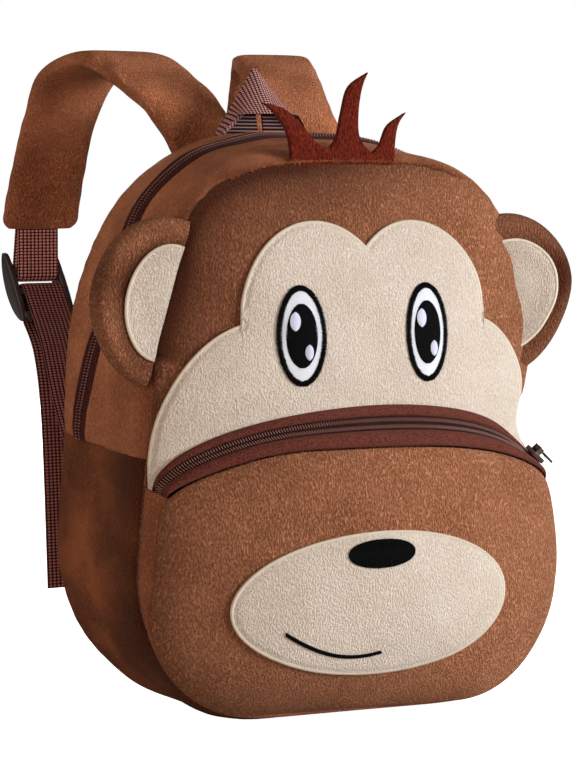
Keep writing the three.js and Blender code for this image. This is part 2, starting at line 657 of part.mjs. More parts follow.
// Eyes: embroidered rings let into each other
const EYE_LIFT = PATCH_LIFT + PATCH + 0.3;
const THREAD_GAP = 0.25;
const stitchedRing = (x, z, a, b, holeA, holeB) => patchRing(
  front, ellipse(x, z, a, b, 18), ellipse(x, z, holeA, holeB, 18), EYE_LIFT, THREAD,
);
function patchRing(surface, outline, hole, lift, thickness) {
  const ring = (line, height) => line.map((p) => surface.point(p.x, p.z, height));
  return hoopWall(
    [ring(hole, lift + thickness), ring(outline, lift + thickness)],
    [ring(hole, lift), ring(outline, lift)],
  );
}
const stitchedOval = (x, z, a, b, count, lift = EYE_LIFT, thickness = THREAD) => patchWall(
  front, ellipse(x, z, a, b, count), { x, z }, [0, 1], lift, thickness,
);
for (const [side, sign] of [['left', -1], ['right', 1]]) {
  const x = EYE.shiftX + sign * EYE.x;
  const { z, a, b, rim } = EYE;
  const whiteA = a - rim;
  const whiteB = b - rim;
  add(`eye_rim_${side}`, stitchedRing(x, z, a, b, whiteA, whiteB), COLOUR.black, FINISH.thread);
  add(`eye_white_${side}`, stitchedRing(
    x, z, whiteA - THREAD_GAP, whiteB - THREAD_GAP, EYE.pupilA, EYE.pupilB,
  ), COLOUR.white, FINISH.thread);
  let pupil = stitchedOval(x, z, EYE.pupilA - THREAD_GAP, EYE.pupilB - THREAD_GAP, 18);
  for (const glint of GLINTS) {
    const spot = [x + glint.dx, z + glint.dz];
    pupil = cut(pupil, stitchedOval(
      ...spot, glint.a + THREAD_GAP, glint.b + THREAD_GAP, 12, EYE_LIFT - 1, THREAD + 2,
    ));
    add(`eye_glint_${glint.name}_${side}`, stitchedOval(...spot, glint.a, glint.b, 12),
      COLOUR.white, FINISH.thread);
  }
  add(`eye_pupil_${side}`, pupil, COLOUR.black, FINISH.thread);
}

// Muzzle, nose and mouth on the pocket
add('muzzle_patch', patchWall(
  pocket, ellipse(MUZZLE.x, MUZZLE.z, MUZZLE.a, MUZZLE.b, 36), MUZZLE,
  [0, 0.35, 0.65, 0.86, 1], PATCH_LIFT, PATCH,
), COLOUR.cream, FINISH.plush);
add('nose', patchWall(
  pocket, ellipse(NOSE.x, NOSE.z, NOSE.a, NOSE.b, 24), NOSE, [0, 0.55, 1], EYE_LIFT, THREAD,
), COLOUR.black, FINISH.thread);
const mouthGrid = (lift) => [-0.5, 0.5].map((edge) => steps(14).map((share) => {
  const x = mix(MOUTH.left, MOUTH.right, share);
  const dip = MOUTH.sag * (1 - (2 * share - 1) ** 2);
  return pocket.point(x, mix(MOUTH.leftZ, MOUTH.rightZ, share) - dip + edge * MOUTH.width, lift);
}));
add('mouth', gridWall(mouthGrid(EYE_LIFT + THREAD), mouthGrid(EYE_LIFT)), COLOUR.black, FINISH.thread);

// The space of the closed bag, with a seam's gap: ears, hair and handle are cut where they meet it
const envelope = ringBody([
  ...[-75].map((y) => gussetRing(0, SEAM).map((p) => p.setY(y))),
  ...[0, 0.1, 0.25, 0.4, 0.54, 0.66, 0.75, 0.91, 1].map((share) => gussetRing(share, SEAM)),
  ...[75].map((y) => gussetRing(1, SEAM).map((p) => p.setY(y))),
]);

// Ears
function earShare(out, up, reach, half) {
  return ((Math.max(out, 0) / reach) ** EAR_POWER + (Math.abs(up) / half) ** EAR_POWER) ** (1 / EAR_POWER);
}

function earSwell(share, side) {
  const next = Math.max(EAR_PROFILE.findIndex((row) => row.share >= share - 1e-9), 1);
  const a = EAR_PROFILE[next - 1];
  const b = EAR_PROFILE[next];
  const part = Math.min((share - a.share) / (b.share - a.share), 1);
  return mix(a[side], b[side], part);
}

function earFrame({ sign, back }) {
  const along = new THREE.Vector3(-sign * Math.sin(degrees(EAR.lean)), 0, Math.cos(degrees(EAR.lean)));
  const out = new THREE.Vector3(
    sign * Math.cos(degrees(EAR.lean)) * Math.cos(degrees(back)),
    Math.sin(degrees(back)),
    Math.sin(degrees(EAR.lean)) * Math.cos(degrees(back)),
  );
  const face = out.clone().cross(along).multiplyScalar(sign);
  const root = new THREE.Vector3(sign * EAR.rootX, EAR.rootY, EAR.rootZ);
  return (o, a, f) => root.clone().addScaledVector(out, o).addScaledVector(along, a).addScaledVector(face, f);
}

// Half-disc outline with a straight root that reaches into the bag
function earOutline(reach, half, root) {
  const curve = (angle) => ({
    out: reach * Math.abs(Math.cos(degrees(angle))) ** (2 / EAR_POWER),
    up: half * Math.sign(angle) * Math.abs(Math.sin(degrees(angle))) ** (2 / EAR_POWER),
  });
  return [{ out: -root, up: -half }, ...steps(12, -90, 90).map(curve), { out: -root, up: half }];
}

for (const shape of EARS) {
  const place = earFrame(shape);
  const sheet = (outline, shares, height) => shares.map((share) => outline.map((p) => {
    const out = mix(-EAR_ROOT, p.out, share);
    const up = p.up * share;
    return place(out, up, height(earShare(out, up, shape.reach, EAR.half)));
  }));
  const earLine = earOutline(shape.reach, EAR.half, EAR_ROOT);
  const shares = [0, 0.45, 0.68, 0.83, 0.95, 1];
  const ear = gridWall(
    sheet(earLine, shares, (s) => earSwell(s, 'front')),
    sheet(earLine, shares, (s) => -earSwell(s, 'rear')),
  );
  add(`ear_${shape.side}`, cut(ear, envelope), COLOUR.brown, FINISH.plush);
  const patchLine = earOutline(shape.patchReach, EAR_PATCH_HALF, EAR_ROOT);
  const patch = gridWall(
    sheet(patchLine, [0, 0.6, 1], (s) => earSwell(s, 'front') + PATCH_LIFT + PATCH),
    sheet(patchLine, [0, 0.6, 1], (s) => earSwell(s, 'front') + PATCH_LIFT),
  );
  add(`ear_patch_${shape.side}`, cut(patch, envelope), COLOUR.cream, FINISH.plush);
}

// Felt hair
const tuft = new THREE.Shape();
tuft.moveTo(SPIKES[0].leftX, HAIR.footZ);
for (const [i, spike] of SPIKES.entries()) {
  const last = i === SPIKES.length - 1;
  tuft.lineTo(spike.leftX, i ? HAIR.valleyZ : HAIR.footZ + 5);
  tuft.quadraticCurveTo(...spike.leftBend, spike.tipX, spike.tipZ);
  tuft.quadraticCurveTo(...spike.rightBend, spike.rightX, last ? HAIR.footZ : HAIR.valleyZ);
}
tuft.closePath();
const felt = new THREE.ExtrudeGeometry(tuft, {
  depth: HAIR.thickness, bevelEnabled: false, curveSegments: 6,
});
felt.rotateX(Math.PI / 2);
felt.translate(0, HAIR.y + HAIR.thickness / 2, 0);
add('hair_tuft', cut(welded(felt), envelope), COLOUR.felt, FINISH.plush);

// Grab handle: hairpin sections across X, a band in front of two legs
const handleRing = (share) => {
  const round = 1 - share ** 2;
  const peak = mix(HANDLE.shoulderZ, HANDLE.peakZ, 1 - Math.abs(share));
  const band = Math.min(mix(HANDLE.shoulderZ - 3, HANDLE.bandZ, round), peak - 2);
  const bow = HANDLE.bow * round;
  const y = HANDLE.legY;
  const w = WEBBING;
  const fold = Math.max(peak - 2 * w, HANDLE.footZ + 1);
  return [
    [y - 2 * w - 0.6 - bow, band], [y - 2 * w - 0.6 - 0.4 * bow, mix(band, peak, 0.5)],
    [y - 1.4 * w, peak - 0.3], [y - 0.7 * w, peak], [y, peak - w],
    [y, HANDLE.footZ], [y - w, HANDLE.footZ],
    [y - w, fold], [y - w - 0.6, fold],
    [y - w - 0.6 - 0.4 * bow, mix(band, peak, 0.5) - 0.5], [y - w - 0.6 - bow, band - 0.3],
  ].map(([py, pz]) => {
    const rise = Math.max(pz - HANDLE.shoulderZ, 0) / (HANDLE.peakZ - HANDLE.shoulderZ);
    return new THREE.Vector3(share * HANDLE.half, py + HANDLE.lean * rise, pz);
  });
};
const handle = ringBody(steps(16, -1, 1).map(handleRing));
const legSlot = block(HANDLE.legGap, 6, HANDLE.bandZ - HANDLE.footZ + 4, [
  0, HANDLE.legY + 3 - WEBBING - 0.3, (HANDLE.bandZ + HANDLE.footZ) / 2 - 2,
]);
add('grab_handle', cut(cut(handle, legSlot), envelope), COLOUR.maroon, FINISH.tape);

// Straps: sections along the listed rows, smoothed between them

// Rows between the listed ones, each column on a Catmull-Rom curve
function smoothRows(rows, between) {
  const out = [];
  const keys = Object.keys(rows[0]);
  for (let i = 0; i + 1 < rows.length; i++) {
    const around = [rows[Math.max(i - 1, 0)], rows[i], rows[i + 1], rows[Math.min(i + 2, rows.length - 1)]];
    for (const t of steps(between).slice(0, -1)) {
      const row = {};
      for (const key of keys) {
        const [a, b, c, d] = around.map((r) => r[key]);
        row[key] = b + 0.5 * t * (c - a + t * (2 * a - 5 * b + 4 * c - d + t * (3 * (b - c) + d - a)));
      }
      out.push(row);
    }
  }
  return [...out, rows[rows.length - 1]];
}

const drift = (sign, y) => (sign > 0 ? RIGHT_DRIFT * THREE.MathUtils.clamp((y - 60) / 60, 0, 1) : 0);

function strapPoint(row, sign, across, through) {
  const lean = degrees(row.lean);
  return new THREE.Vector3(
    -sign * (row.x + across + drift(sign, row.y)),
    row.y - Math.sin(lean) * through,
    row.z + Math.cos(lean) * through,
  );
}

const padSection = (row, sign) => steps(PAD_FACETS, 0, 360).slice(0, -1).map((angle) => {
  const c = Math.cos(degrees(angle + 18));
  const s = Math.sin(degrees(angle + 18));
  const across = Math.sign(c) * Math.abs(c) ** 0.45 * row.width / 2;
  const through = Math.sign(s) * Math.abs(s) ** 0.75 * row.thick / 2;
  return strapPoint(row, sign, across, through);
});

const webSection = (row, sign) => [[-0.5, -0.5], [0.5, -0.5], [0.5, 0.5], [-0.5, 0.5]].map(
  ([a, t]) => strapPoint(row, sign, a * STRAP_WIDTH, t * WEBBING));

// The middle of one of the buckle's bars
const barSpot = (height) => ({
  y: BUCKLE.y + height * Math.sin(degrees(BUCKLE.tilt)),
  z: BUCKLE.z + height * Math.cos(degrees(BUCKLE.tilt)),
});

// Rows part of the way round a bar, as webbing lies on it
const barRadius = Math.hypot(BUCKLE.bar, BUCKLE.thick) / 2 + BAR_CLEAR + WEBBING / 2;
const roundBar = (bar, from, to) => steps(8, from, to).map((angle) => ({
  x: BUCKLE.x,
  y: barSpot(bar).y + barRadius * Math.cos(degrees(angle)),
  z: barSpot(bar).z + barRadius * Math.sin(degrees(angle)),
  lean: angle + (to > from ? 90 : -90),
}));

function buckleBody(sign) {
  const { width, height, side, bar, thick } = BUCKLE;
  const w = width / 2;
  const h = height / 2;
  const inner = w - side;
  const corner = 5;
  const shape = new THREE.Shape();
  shape.moveTo(-w + corner, -h);
  shape.lineTo(w - corner, -h);
  shape.quadraticCurveTo(w, -h, w, -h + corner);
  shape.lineTo(w, h - side);
  shape.quadraticCurveTo(w, h, inner + side / 2, h);
  shape.quadraticCurveTo(inner, h, inner, h - side);
  shape.lineTo(inner, BARS.top + bar / 2);
  shape.lineTo(-inner, BARS.top + bar / 2);
  shape.lineTo(-inner, h - side);
  shape.quadraticCurveTo(-inner, h, -inner - side / 2, h);
  shape.quadraticCurveTo(-w, h, -w, h - side);
  shape.lineTo(-w, -h + corner);
  shape.quadraticCurveTo(-w, -h, -w + corner, -h);
  for (const [low, high] of [[BARS.bottom, BARS.middle], [BARS.middle, BARS.top]]) {
    const slot = new THREE.Path();
    slot.moveTo(-inner, low + bar / 2);
    slot.lineTo(-inner, high - bar / 2);
    slot.lineTo(inner, high - bar / 2);
    slot.lineTo(inner, low + bar / 2);
    slot.closePath();
    shape.holes.push(slot);
  }
  const body = new THREE.ExtrudeGeometry(shape, { depth: thick, bevelEnabled: false, curveSegments: 4 });
  body.translate(0, 0, -thick / 2);
  const spot = body.attributes.position;
  for (let i = 0; i < spot.count; i++) {
    const out = Math.max(Math.abs(spot.getX(i)) - inner, 0) / side;
    spot.setZ(i, spot.getZ(i) - BUCKLE_SWEEP * out);
  }
  body.rotateX(degrees(90 - BUCKLE.tilt));
  body.translate(-sign * (BUCKLE.x + drift(sign, BUCKLE.y)), BUCKLE.y, BUCKLE.z);
  return welded(body);
}

for (const [side, sign] of [['left', -1], ['right', 1]]) {
  add(`shoulder_pad_${side}`, ringBody(smoothRows(PAD_ROWS, 2).map((row) => padSection(row, sign))),
    COLOUR.brown, FINISH.plush);
  add(`buckle_${side}`, buckleBody(sign), COLOUR.plastic, FINISH.plastic);

  const padEnd = PAD_ROWS[PAD_ROWS.length - 1];
  const tabEnd = (y, lean) => ({ x: BUCKLE.x, y, z: padEnd.z - SEAM - WEBBING / 2, lean });
  const tab = [
    tabEnd(padEnd.y - WEBBING, -90),
    ...roundBar(BARS.top, 180, 360),
    tabEnd(padEnd.y + WEBBING, 90),
  ];
  add(`strap_tab_${side}`, ringBody(tab.map((row) => webSection(row, sign))), COLOUR.maroon, FINISH.tape);

  const strap = [
    ...smoothRows(STRAP_ROWS, 2),
    ...roundBar(BARS.middle, 140, -24),
    ...smoothRows(TAIL_ROWS, 2),
  ];
  add(`strap_webbing_${side}`, ringBody(strap.map((row) => webSection(row, sign))),
    COLOUR.maroon, FINISH.tape);
}

export default bag;
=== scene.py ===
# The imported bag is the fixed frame: metres, +Z up, and the face looks along -Y.
import math

import bmesh
import bpy
import numpy as np
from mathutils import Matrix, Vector


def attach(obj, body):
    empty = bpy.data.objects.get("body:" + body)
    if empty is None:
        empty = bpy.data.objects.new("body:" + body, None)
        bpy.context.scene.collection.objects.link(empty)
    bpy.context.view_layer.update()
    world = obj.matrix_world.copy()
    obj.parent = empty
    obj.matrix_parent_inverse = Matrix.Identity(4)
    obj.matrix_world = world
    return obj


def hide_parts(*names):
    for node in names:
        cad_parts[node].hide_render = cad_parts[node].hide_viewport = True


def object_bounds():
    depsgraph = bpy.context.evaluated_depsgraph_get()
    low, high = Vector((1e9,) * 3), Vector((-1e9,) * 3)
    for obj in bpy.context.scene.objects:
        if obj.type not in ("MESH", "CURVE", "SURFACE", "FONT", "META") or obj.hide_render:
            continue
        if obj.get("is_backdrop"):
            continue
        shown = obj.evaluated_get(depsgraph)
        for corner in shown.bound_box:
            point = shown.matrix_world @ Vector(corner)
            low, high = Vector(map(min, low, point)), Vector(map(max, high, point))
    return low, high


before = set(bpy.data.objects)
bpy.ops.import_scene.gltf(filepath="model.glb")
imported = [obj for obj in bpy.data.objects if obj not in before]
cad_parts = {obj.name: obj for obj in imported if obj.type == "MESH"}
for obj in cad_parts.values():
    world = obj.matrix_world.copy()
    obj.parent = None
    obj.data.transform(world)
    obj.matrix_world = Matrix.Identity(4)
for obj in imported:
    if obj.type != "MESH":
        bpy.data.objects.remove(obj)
cad_low, cad_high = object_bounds()
scene = bpy.context.scene

# The picture: the photo's camera, a white studio floor and soft light from the front right and above,
# with a lamp behind the bag for its back, which the photo doesn't show
LIT_SPOT = Vector((0, 0, 0.15))
scene.view_settings.view_transform = "Standard"


def placed(name, data):
    """A new object in the scene."""
    made = bpy.data.objects.new(name, data)
    scene.collection.objects.link(made)
    return made


lens = bpy.data.cameras.new("camera")
lens.sensor_fit = "VERTICAL"
lens.sensor_height = 36
lens.lens = 124.22
camera = placed("camera", lens)
camera.location = (-0.6377, -1.0890, 0.251)
camera.rotation_euler = (math.radians(85.512), 0, math.radians(-30))
scene.camera = camera


def put(tree, kind, inputs=None, **settings):
    """A new node with its settings, and its inputs linked or set to a value."""
    made = tree.nodes.new(kind)
    for key, value in settings.items():
        setattr(made, key, value)
    for key, value in (inputs or {}).items():
        if isinstance(value, bpy.types.NodeSocket):
            tree.links.new(value, made.inputs[key])
        else:
            made.inputs[key].default_value = value
    return made


def principled(name, values):
    """A material with one Principled shader, and that shader, with its even values set on its sockets."""
    material = bpy.data.materials.new(name)
    material.use_nodes = True
    shader = material.node_tree.nodes["Principled BSDF"]
    for key, value in values.items():
        shader.inputs[key].default_value = value
    return material, shader


def for_the_eye(tree, lights, shows):
    """A strength that lights the bag, and another that the eye sees."""
    straight = put(tree, "ShaderNodeLightPath").outputs["Is Camera Ray"]
    strength = put(tree, "ShaderNodeMapRange", {"Value": straight, "To Min": lights, "To Max": shows})
    return strength.outputs["Result"]


bpy.ops.mesh.primitive_plane_add(size=8)
floor = bpy.context.object
floor.name = "floor"
pale, pale_shader = principled("floor", {
    "Base Color": (0.7, 0.66, 0.62, 1), "Roughness": 0.9, "Emission Color": (1, 1, 1, 1),
})
pale.node_tree.links.new(for_the_eye(pale.node_tree, 0.0, 1.0), pale_shader.inputs["Emission Strength"])
floor.data.materials.append(pale)
floor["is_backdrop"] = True

scene.world = bpy.data.worlds.new("studio")
scene.world.use_nodes = True
sky = scene.world.node_tree
sky.nodes["Background"].inputs["Color"].default_value = (1, 1, 1, 1)
sky.links.new(for_the_eye(sky, 0.1, 1.0), sky.nodes["Background"].inputs["Strength"])
for name, spot, size, power, tint in (
    ("key", (1.1, -1.05, 0.42), 0.6, 44.5, (0.92, 0.965, 1)),
    ("top", (-0.6, -0.2, 1.25), 0.8, 3.4, (1, 0.95, 0.9)),
    ("fill", (-1.3, -0.75, 0.5), 0.8, 9.8, (1, 0.82, 0.7)),
    ("rear", (0.7, 1.5, 0.5), 0.8, 16, (1, 0.96, 0.92)),
):
    lamp = bpy.data.lights.new(name, "AREA")
    lamp.size = size
    lamp.energy = power
    lamp.color = tint
    holder = placed(name, lamp)
    holder.location = spot
    holder.rotation_euler = (LIT_SPOT - Vector(spot)).to_track_quat("-Z", "Y").to_euler()

# The body: brown plush panels sewn to a gusset of plush strips, stuffed out from inside.
# Sizes are in millimetres: depth of each seam, half widths, heights and the foot corners' radius.
MM = 0.001
SECTIONS = {
    "front": dict(y=-40, foot=110.5, split=105.5, dome=102, split_z=124, top=258, power=3.3, corner=70),
    "back": dict(y=40, foot=111, split=107, dome=106.5, split_z=131, top=269.5, power=2.35, corner=77),
}
SEAM_LIFT = 3.5
DOME_Z = 143
BULGE = 4.5
FLATNESS = 8
PLUSH = 2.4
TEMPLE = dict(z=206, spread=23, pinch=8)
SLUMPS = (
    dict(z=131, spread=17, pinch=10), dict(z=68, spread=45, pinch=-4), dict(z=207, spread=24, pinch=-5),
)
SLUMP_BACK = 20
POCKET_DROOP = dict(drop=4.5, z=60, half=90, left=-0.6, front_y=-42, fade=10)
PANEL_STEP = 3
FRONT = dict(middle_z=143, rim_y=-40.2, middle_y=-63.2, fullness=0.82)
FRONT_SHADE = dict(even=0.18, rim=0.4, rim_width=0.07, crown=0.5, crown_width=0.3, crown_z=170)
BACK = dict(middle_z=133, rim_y=40.2, rise=3.6)
GROOVE = dict(sink=1.1, width=2.4)


def mix(a, b, share):
    return a + (b - a) * share


def hump(value, middle, width):
    """1 at a middle, and less and less on either side of it."""
    return np.exp(-((value - middle) / width) ** 2)


def unit(vectors):
    return vectors / np.linalg.norm(vectors, axis=-1)[..., None]


def run_along(rows):
    """Length along rows of points, from the first row."""
    steps = np.linalg.norm(np.diff(rows, axis=0), axis=-1)
    return np.concatenate([np.zeros_like(steps[:1]), np.cumsum(steps, 0)])


def picked(at, run, table, period=None):
    """Rows of a table at given places along its run."""
    return np.column_stack([np.interp(at, run, column, period=period) for column in table.T])


def foot_line(foot, corner, split, lift, split_z):
    """Half an outline from the middle of the foot round a corner and up to the side seam."""
    turn = np.radians(np.linspace(-90, 0, 40))
    round_corner = np.column_stack([
        foot - corner + corner * np.cos(turn),
        lift + corner + corner * np.sin(turn),
    ])
    return np.vstack([[[0, lift]], round_corner, [[split, split_z]]])


def closed_curve(half, count=720, ease=5):
    """The whole of an outline, evenly spaced from the middle of its foot and up its right side."""
    line = np.vstack([half, half[-2:0:-1] * [-1, 1], half[:1]])
    run = run_along(line)
    spots = picked(np.linspace(0, run[-1], count, endpoint=False), run, line)
    waves = np.fft.fftfreq(count, run[-1] / count)
    soft = np.exp(-2 * (math.pi * ease * waves) ** 2)
    return np.fft.ifft(np.fft.fft(spots, axis=0) * soft[:, None], axis=0).real


def body_outline(share):
    """The bag's outline between its front seam, at 0, and its back seam, at 1, and the side seam's height."""
    at = {key: mix(SECTIONS["front"][key], SECTIONS["back"][key], share) for key in SECTIONS["front"]}
    angle = np.radians(np.linspace(0, 90, 90))
    z = mix(DOME_Z, at["top"], np.sin(angle) ** (2 / at["power"]))
    temple = TEMPLE["pinch"] * (1 - share) * hump(z, TEMPLE["z"], TEMPLE["spread"])
    dome = np.column_stack([(at["dome"] - temple) * np.cos(angle).clip(0) ** (2 / at["power"]), z])
    foot = foot_line(at["foot"], at["corner"], at["split"], SEAM_LIFT, at["split_z"])
    return closed_curve(np.vstack([foot, dome])), at["split_z"]


def heading(line, closed):
    """Direction of a line's run at each of its points."""
    return unit(np.roll(line, -1, 0) - np.roll(line, 1, 0) if closed else np.gradient(line, axis=0))


def outward(line, closed=True):
    """Normals on the right of a line's run, which is the outer side of an outline."""
    ahead = heading(line, closed)
    return np.column_stack([ahead[:, 1], -ahead[:, 0]])


def settled(points):
    """The soft front: drawn in on its right above the pocket zip and fuller below it, with the pocket slung
    lower there."""
    x, y, z = np.moveaxis(points, -1, 0)
    pull = sum(slump["pinch"] * hump(z, slump["z"], slump["spread"]) for slump in SLUMPS)
    forward = ((SLUMP_BACK - y) / (SLUMP_BACK - SECTIONS["front"]["y"])).clip(0, 1)
    side = (x / SECTIONS["front"]["split"]).clip(0, 1) ** 2
    tilt = (x / POCKET_DROOP["half"]).clip(POCKET_DROOP["left"], 1) * (1 - z / POCKET_DROOP["z"]).clip(0, 1)
    before = ((POCKET_DROOP["front_y"] - y) / POCKET_DROOP["fade"]).clip(0, 1)
    return np.stack([x - pull * forward * side, y, z - POCKET_DROOP["drop"] * tilt * before], -1)


def wall_faces(rows, columns, hoop):
    """Faces of a closed wall between two grids of points, the outer grid first."""
    grid = np.arange(rows * columns).reshape(rows, columns)
    if hoop:
        grid = np.column_stack([grid, grid[:, 0]])
    back = grid + rows * columns
    sides = [
        (grid[:-1, :-1], grid[:-1, 1:], grid[1:, 1:], grid[1:, :-1]),
        (back[:-1, :-1], back[1:, :-1], back[1:, 1:], back[:-1, 1:]),
        (grid[0, 1:], grid[0, :-1], back[0, :-1], back[0, 1:]),
        (grid[-1, :-1], grid[-1, 1:], back[-1, 1:], back[-1, :-1]),
    ]
    if not hoop:
        sides.append((grid[:-1, 0], grid[1:, 0], back[1:, 0], back[:-1, 0]))
        sides.append((grid[1:, -1], grid[:-1, -1], back[:-1, -1], back[1:, -1]))
    return np.concatenate([np.stack([corner.ravel() for corner in side], 1) for side in sides])


def mesh_piece(name, points, faces, material, uvs=None, shade=None):
    """A closed mesh from points in millimetres: doubles merged, faces outward and smooth. Shade is painted
    shade: the share by which the colour is darkened towards a deeper tone."""
    mesh = bpy.data.meshes.new(name)
    mesh.from_pydata((np.asarray(points) * MM).tolist(), [], [list(face) for face in faces])
    if uvs is not None:
        layer = mesh.uv_layers.new(name="weave")
        for loop in mesh.loops:
            layer.data[loop.index].uv = uvs[loop.vertex_index]
    if shade is not None:
        mesh.attributes.new("shade", "FLOAT", "POINT").data.foreach_set("value", shade.astype(np.float32))
    shape = bmesh.new()
    shape.from_mesh(mesh)
    bmesh.ops.remove_doubles(shape, verts=shape.verts, dist=2e-6)
    if shape.calc_volume(signed=True) < 0:
        bmesh.ops.reverse_faces(shape, faces=shape.faces)
    for face in shape.faces:
        face.smooth = True
    shape.to_mesh(mesh)
    shape.free()
    mesh.set_sharp_from_angle(angle=math.radians(60))
    mesh.materials.append(material)
    return placed(name, mesh)


def cloth_wall(name, outer, inner, material, hoop=False, uvs=None, shade=None):
    """A wall of cloth between two grids of points."""
    rows, columns = outer.shape[:2]
    points = settled(np.concatenate([outer.reshape(-1, 3), inner.reshape(-1, 3)]))
    spread = None if uvs is None else np.concatenate([uvs.reshape(-1, 2)] * 2)
    # The painted shade, once for each grid
    turned = None if shade is None else np.concatenate([shade.ravel()] * 2)
    return mesh_piece(name, points, wall_faces(rows, columns, hoop), material, spread, turned)


def sewn(piece, slot, *nodes):
    """Fixes a piece to the bag, in place of the CAD nodes that it stands for."""
    if nodes:
        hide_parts(*nodes)
    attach(piece, "bag")
    return piece


class Crown:
    """A panel that swells from its rim to its middle: a depth for each place inside its outline."""

    def __init__(self, outline, middle_z, rim_y, middle_y, fullness):
        self.line = outline[::PANEL_STEP]
        self.middle_z = middle_z
        self.rim_y = rim_y
        self.middle_y = middle_y
        self.fullness = fullness
        angle = np.arctan2(outline[:, 0], outline[:, 1] - middle_z)
        order = np.argsort(angle)
        self.angles = angle[order]
        self.radii = np.hypot(outline[:, 0], outline[:, 1] - middle_z)[order]

    def reach(self, x, z):
        """Share of the way from the middle to the rim, and the rim's place there."""
        angle = np.arctan2(x, z - self.middle_z)
        far = np.interp(angle, self.angles, self.radii, period=2 * math.pi)
        share = (np.hypot(x, z - self.middle_z) / far).clip(0, 1)
        return share, np.sin(angle) * far, self.middle_z + np.cos(angle) * far

    def depth(self, x, z):
        """How far back the surface is at a place, with the soft dents of its stuffing."""
        share, rim_x, rim_z = self.reach(x, z)
        swell = (1 - share ** 2) ** self.fullness
        dents = 0.6 * np.sin(x / 19 + 1.7) * np.cos(z / 23 - 0.6) + 0.3 * np.sin(x / 10 - z / 12 + 0.8)
        return mix(self.rim_y(rim_x, rim_z), self.middle_y + dents, swell)

    def point(self, x, z, lift=0):
        """A point lifted off the surface, never further back than the rim."""
        x, z, lift = np.broadcast_arrays(x, z, lift)
        share, rim_x, rim_z = self.reach(x, z)
        inward = np.minimum(1, 0.985 / share.clip(1e-6))
        at_x = x * inward
        at_z = mix(self.middle_z, z, inward)
        slope_x = self.depth(at_x + 0.5, at_z) - self.depth(at_x - 0.5, at_z)
        slope_z = self.depth(at_x, at_z + 0.5) - self.depth(at_x, at_z - 0.5)
        normal = unit(np.stack([slope_x, -np.ones_like(slope_x), slope_z], -1))
        spot = np.stack([x, self.depth(x, z), z], -1) + normal * lift[..., None]
        spot[..., 1] = np.minimum(spot[..., 1], self.rim_y(rim_x, rim_z))
        return spot

    def rings(self, shares, lift):
        """Rings at shares of the way from the middle to the rim."""
        share = shares[:, None]
        return self.point(self.line[:, 0] * share, mix(self.middle_z, self.line[:, 1], share), lift)


def reckoned(tree, operation, a, b=0.5):
    """The result of a sum in a node tree."""
    return put(tree, "ShaderNodeMath", {0: a, 1: b}, operation=operation).outputs["Value"]


def masked(tree, value, low, high):
    """A value made a soft mask, 0 at its low end and 1 at its high one."""
    return put(tree, "ShaderNodeMapRange", {
        "Value": value, "From Min": low, "From Max": high,
    }, interpolation_type="SMOOTHSTEP").outputs["Result"]


def raised(tree, shader, height, strength, distance):
    """Gives a shader fine relief, its depth in metres."""
    bump = put(tree, "ShaderNodeBump", {"Height": height, "Strength": strength, "Distance": distance})
    tree.links.new(bump.outputs["Normal"], shader.inputs["Normal"])


def nap_group():
    """Plush nap: fine flecks drawn out down the pile, and broad sweeps where a hand has brushed it."""
    group = bpy.data.node_groups.new("plush nap", "ShaderNodeTree")
    for name in ("Grain", "Stretch", "Waviness"):
        group.interface.new_socket(name, in_out="INPUT", socket_type="NodeSocketFloat")
    for name in ("Fleck", "Sweep"):
        group.interface.new_socket(name, in_out="OUTPUT", socket_type="NodeSocketFloat")
    start = put(group, "NodeGroupInput").outputs
    place = put(group, "ShaderNodeTexCoord").outputs["Object"]
    wander = put(group, "ShaderNodeTexNoise", {"Vector": place, "Scale": 110.0, "Detail": 1.0})
    centred = put(group, "ShaderNodeVectorMath", {
        0: wander.outputs["Color"], 1: (0.5, 0.5, 0.5),
    }, operation="SUBTRACT")
    drift = put(group, "ShaderNodeVectorMath", {
        0: centred.outputs["Vector"], "Scale": start["Waviness"],
    }, operation="SCALE")
    swayed = put(group, "ShaderNodeVectorMath", {0: place, 1: drift.outputs["Vector"]}, operation="ADD")
    squeeze = reckoned(group, "DIVIDE", 1.0, start["Stretch"])
    ratio = put(group, "ShaderNodeCombineXYZ", {"X": 1.0, "Y": 1.0, "Z": squeeze})
    drawn = put(group, "ShaderNodeVectorMath", {
        0: swayed.outputs["Vector"], 1: ratio.outputs["Vector"],
    }, operation="MULTIPLY")
    grain = put(group, "ShaderNodeTexNoise", {
        "Vector": drawn.outputs["Vector"], "Scale": reckoned(group, "DIVIDE", 1.0, start["Grain"]),
        "Detail": 2.0, "Roughness": 0.6,
    })
    broad = put(group, "ShaderNodeTexNoise", {"Vector": place, "Scale": 34.0, "Detail": 3.0})
    put(group, "NodeGroupOutput", {
        "Fleck": masked(group, grain.outputs["Fac"], 0.3, 0.7),
        "Sweep": masked(group, broad.outputs["Fac"], 0.33, 0.67),
    })
    return group


plush_nap = nap_group()


def nap_in(tree, grain, stretch, waviness):
    """The outputs of the plush nap, placed in a material with its own values."""
    return put(tree, "ShaderNodeGroup", {
        "Grain": grain, "Stretch": stretch, "Waviness": waviness,
    }, node_tree=plush_nap).outputs


def blended(tree, factor, first, second):
    """One colour mixed into another by a factor."""
    node = put(tree, "ShaderNodeMix", {0: factor, 6: first, 7: second}, data_type="RGBA")
    return node.outputs[2]


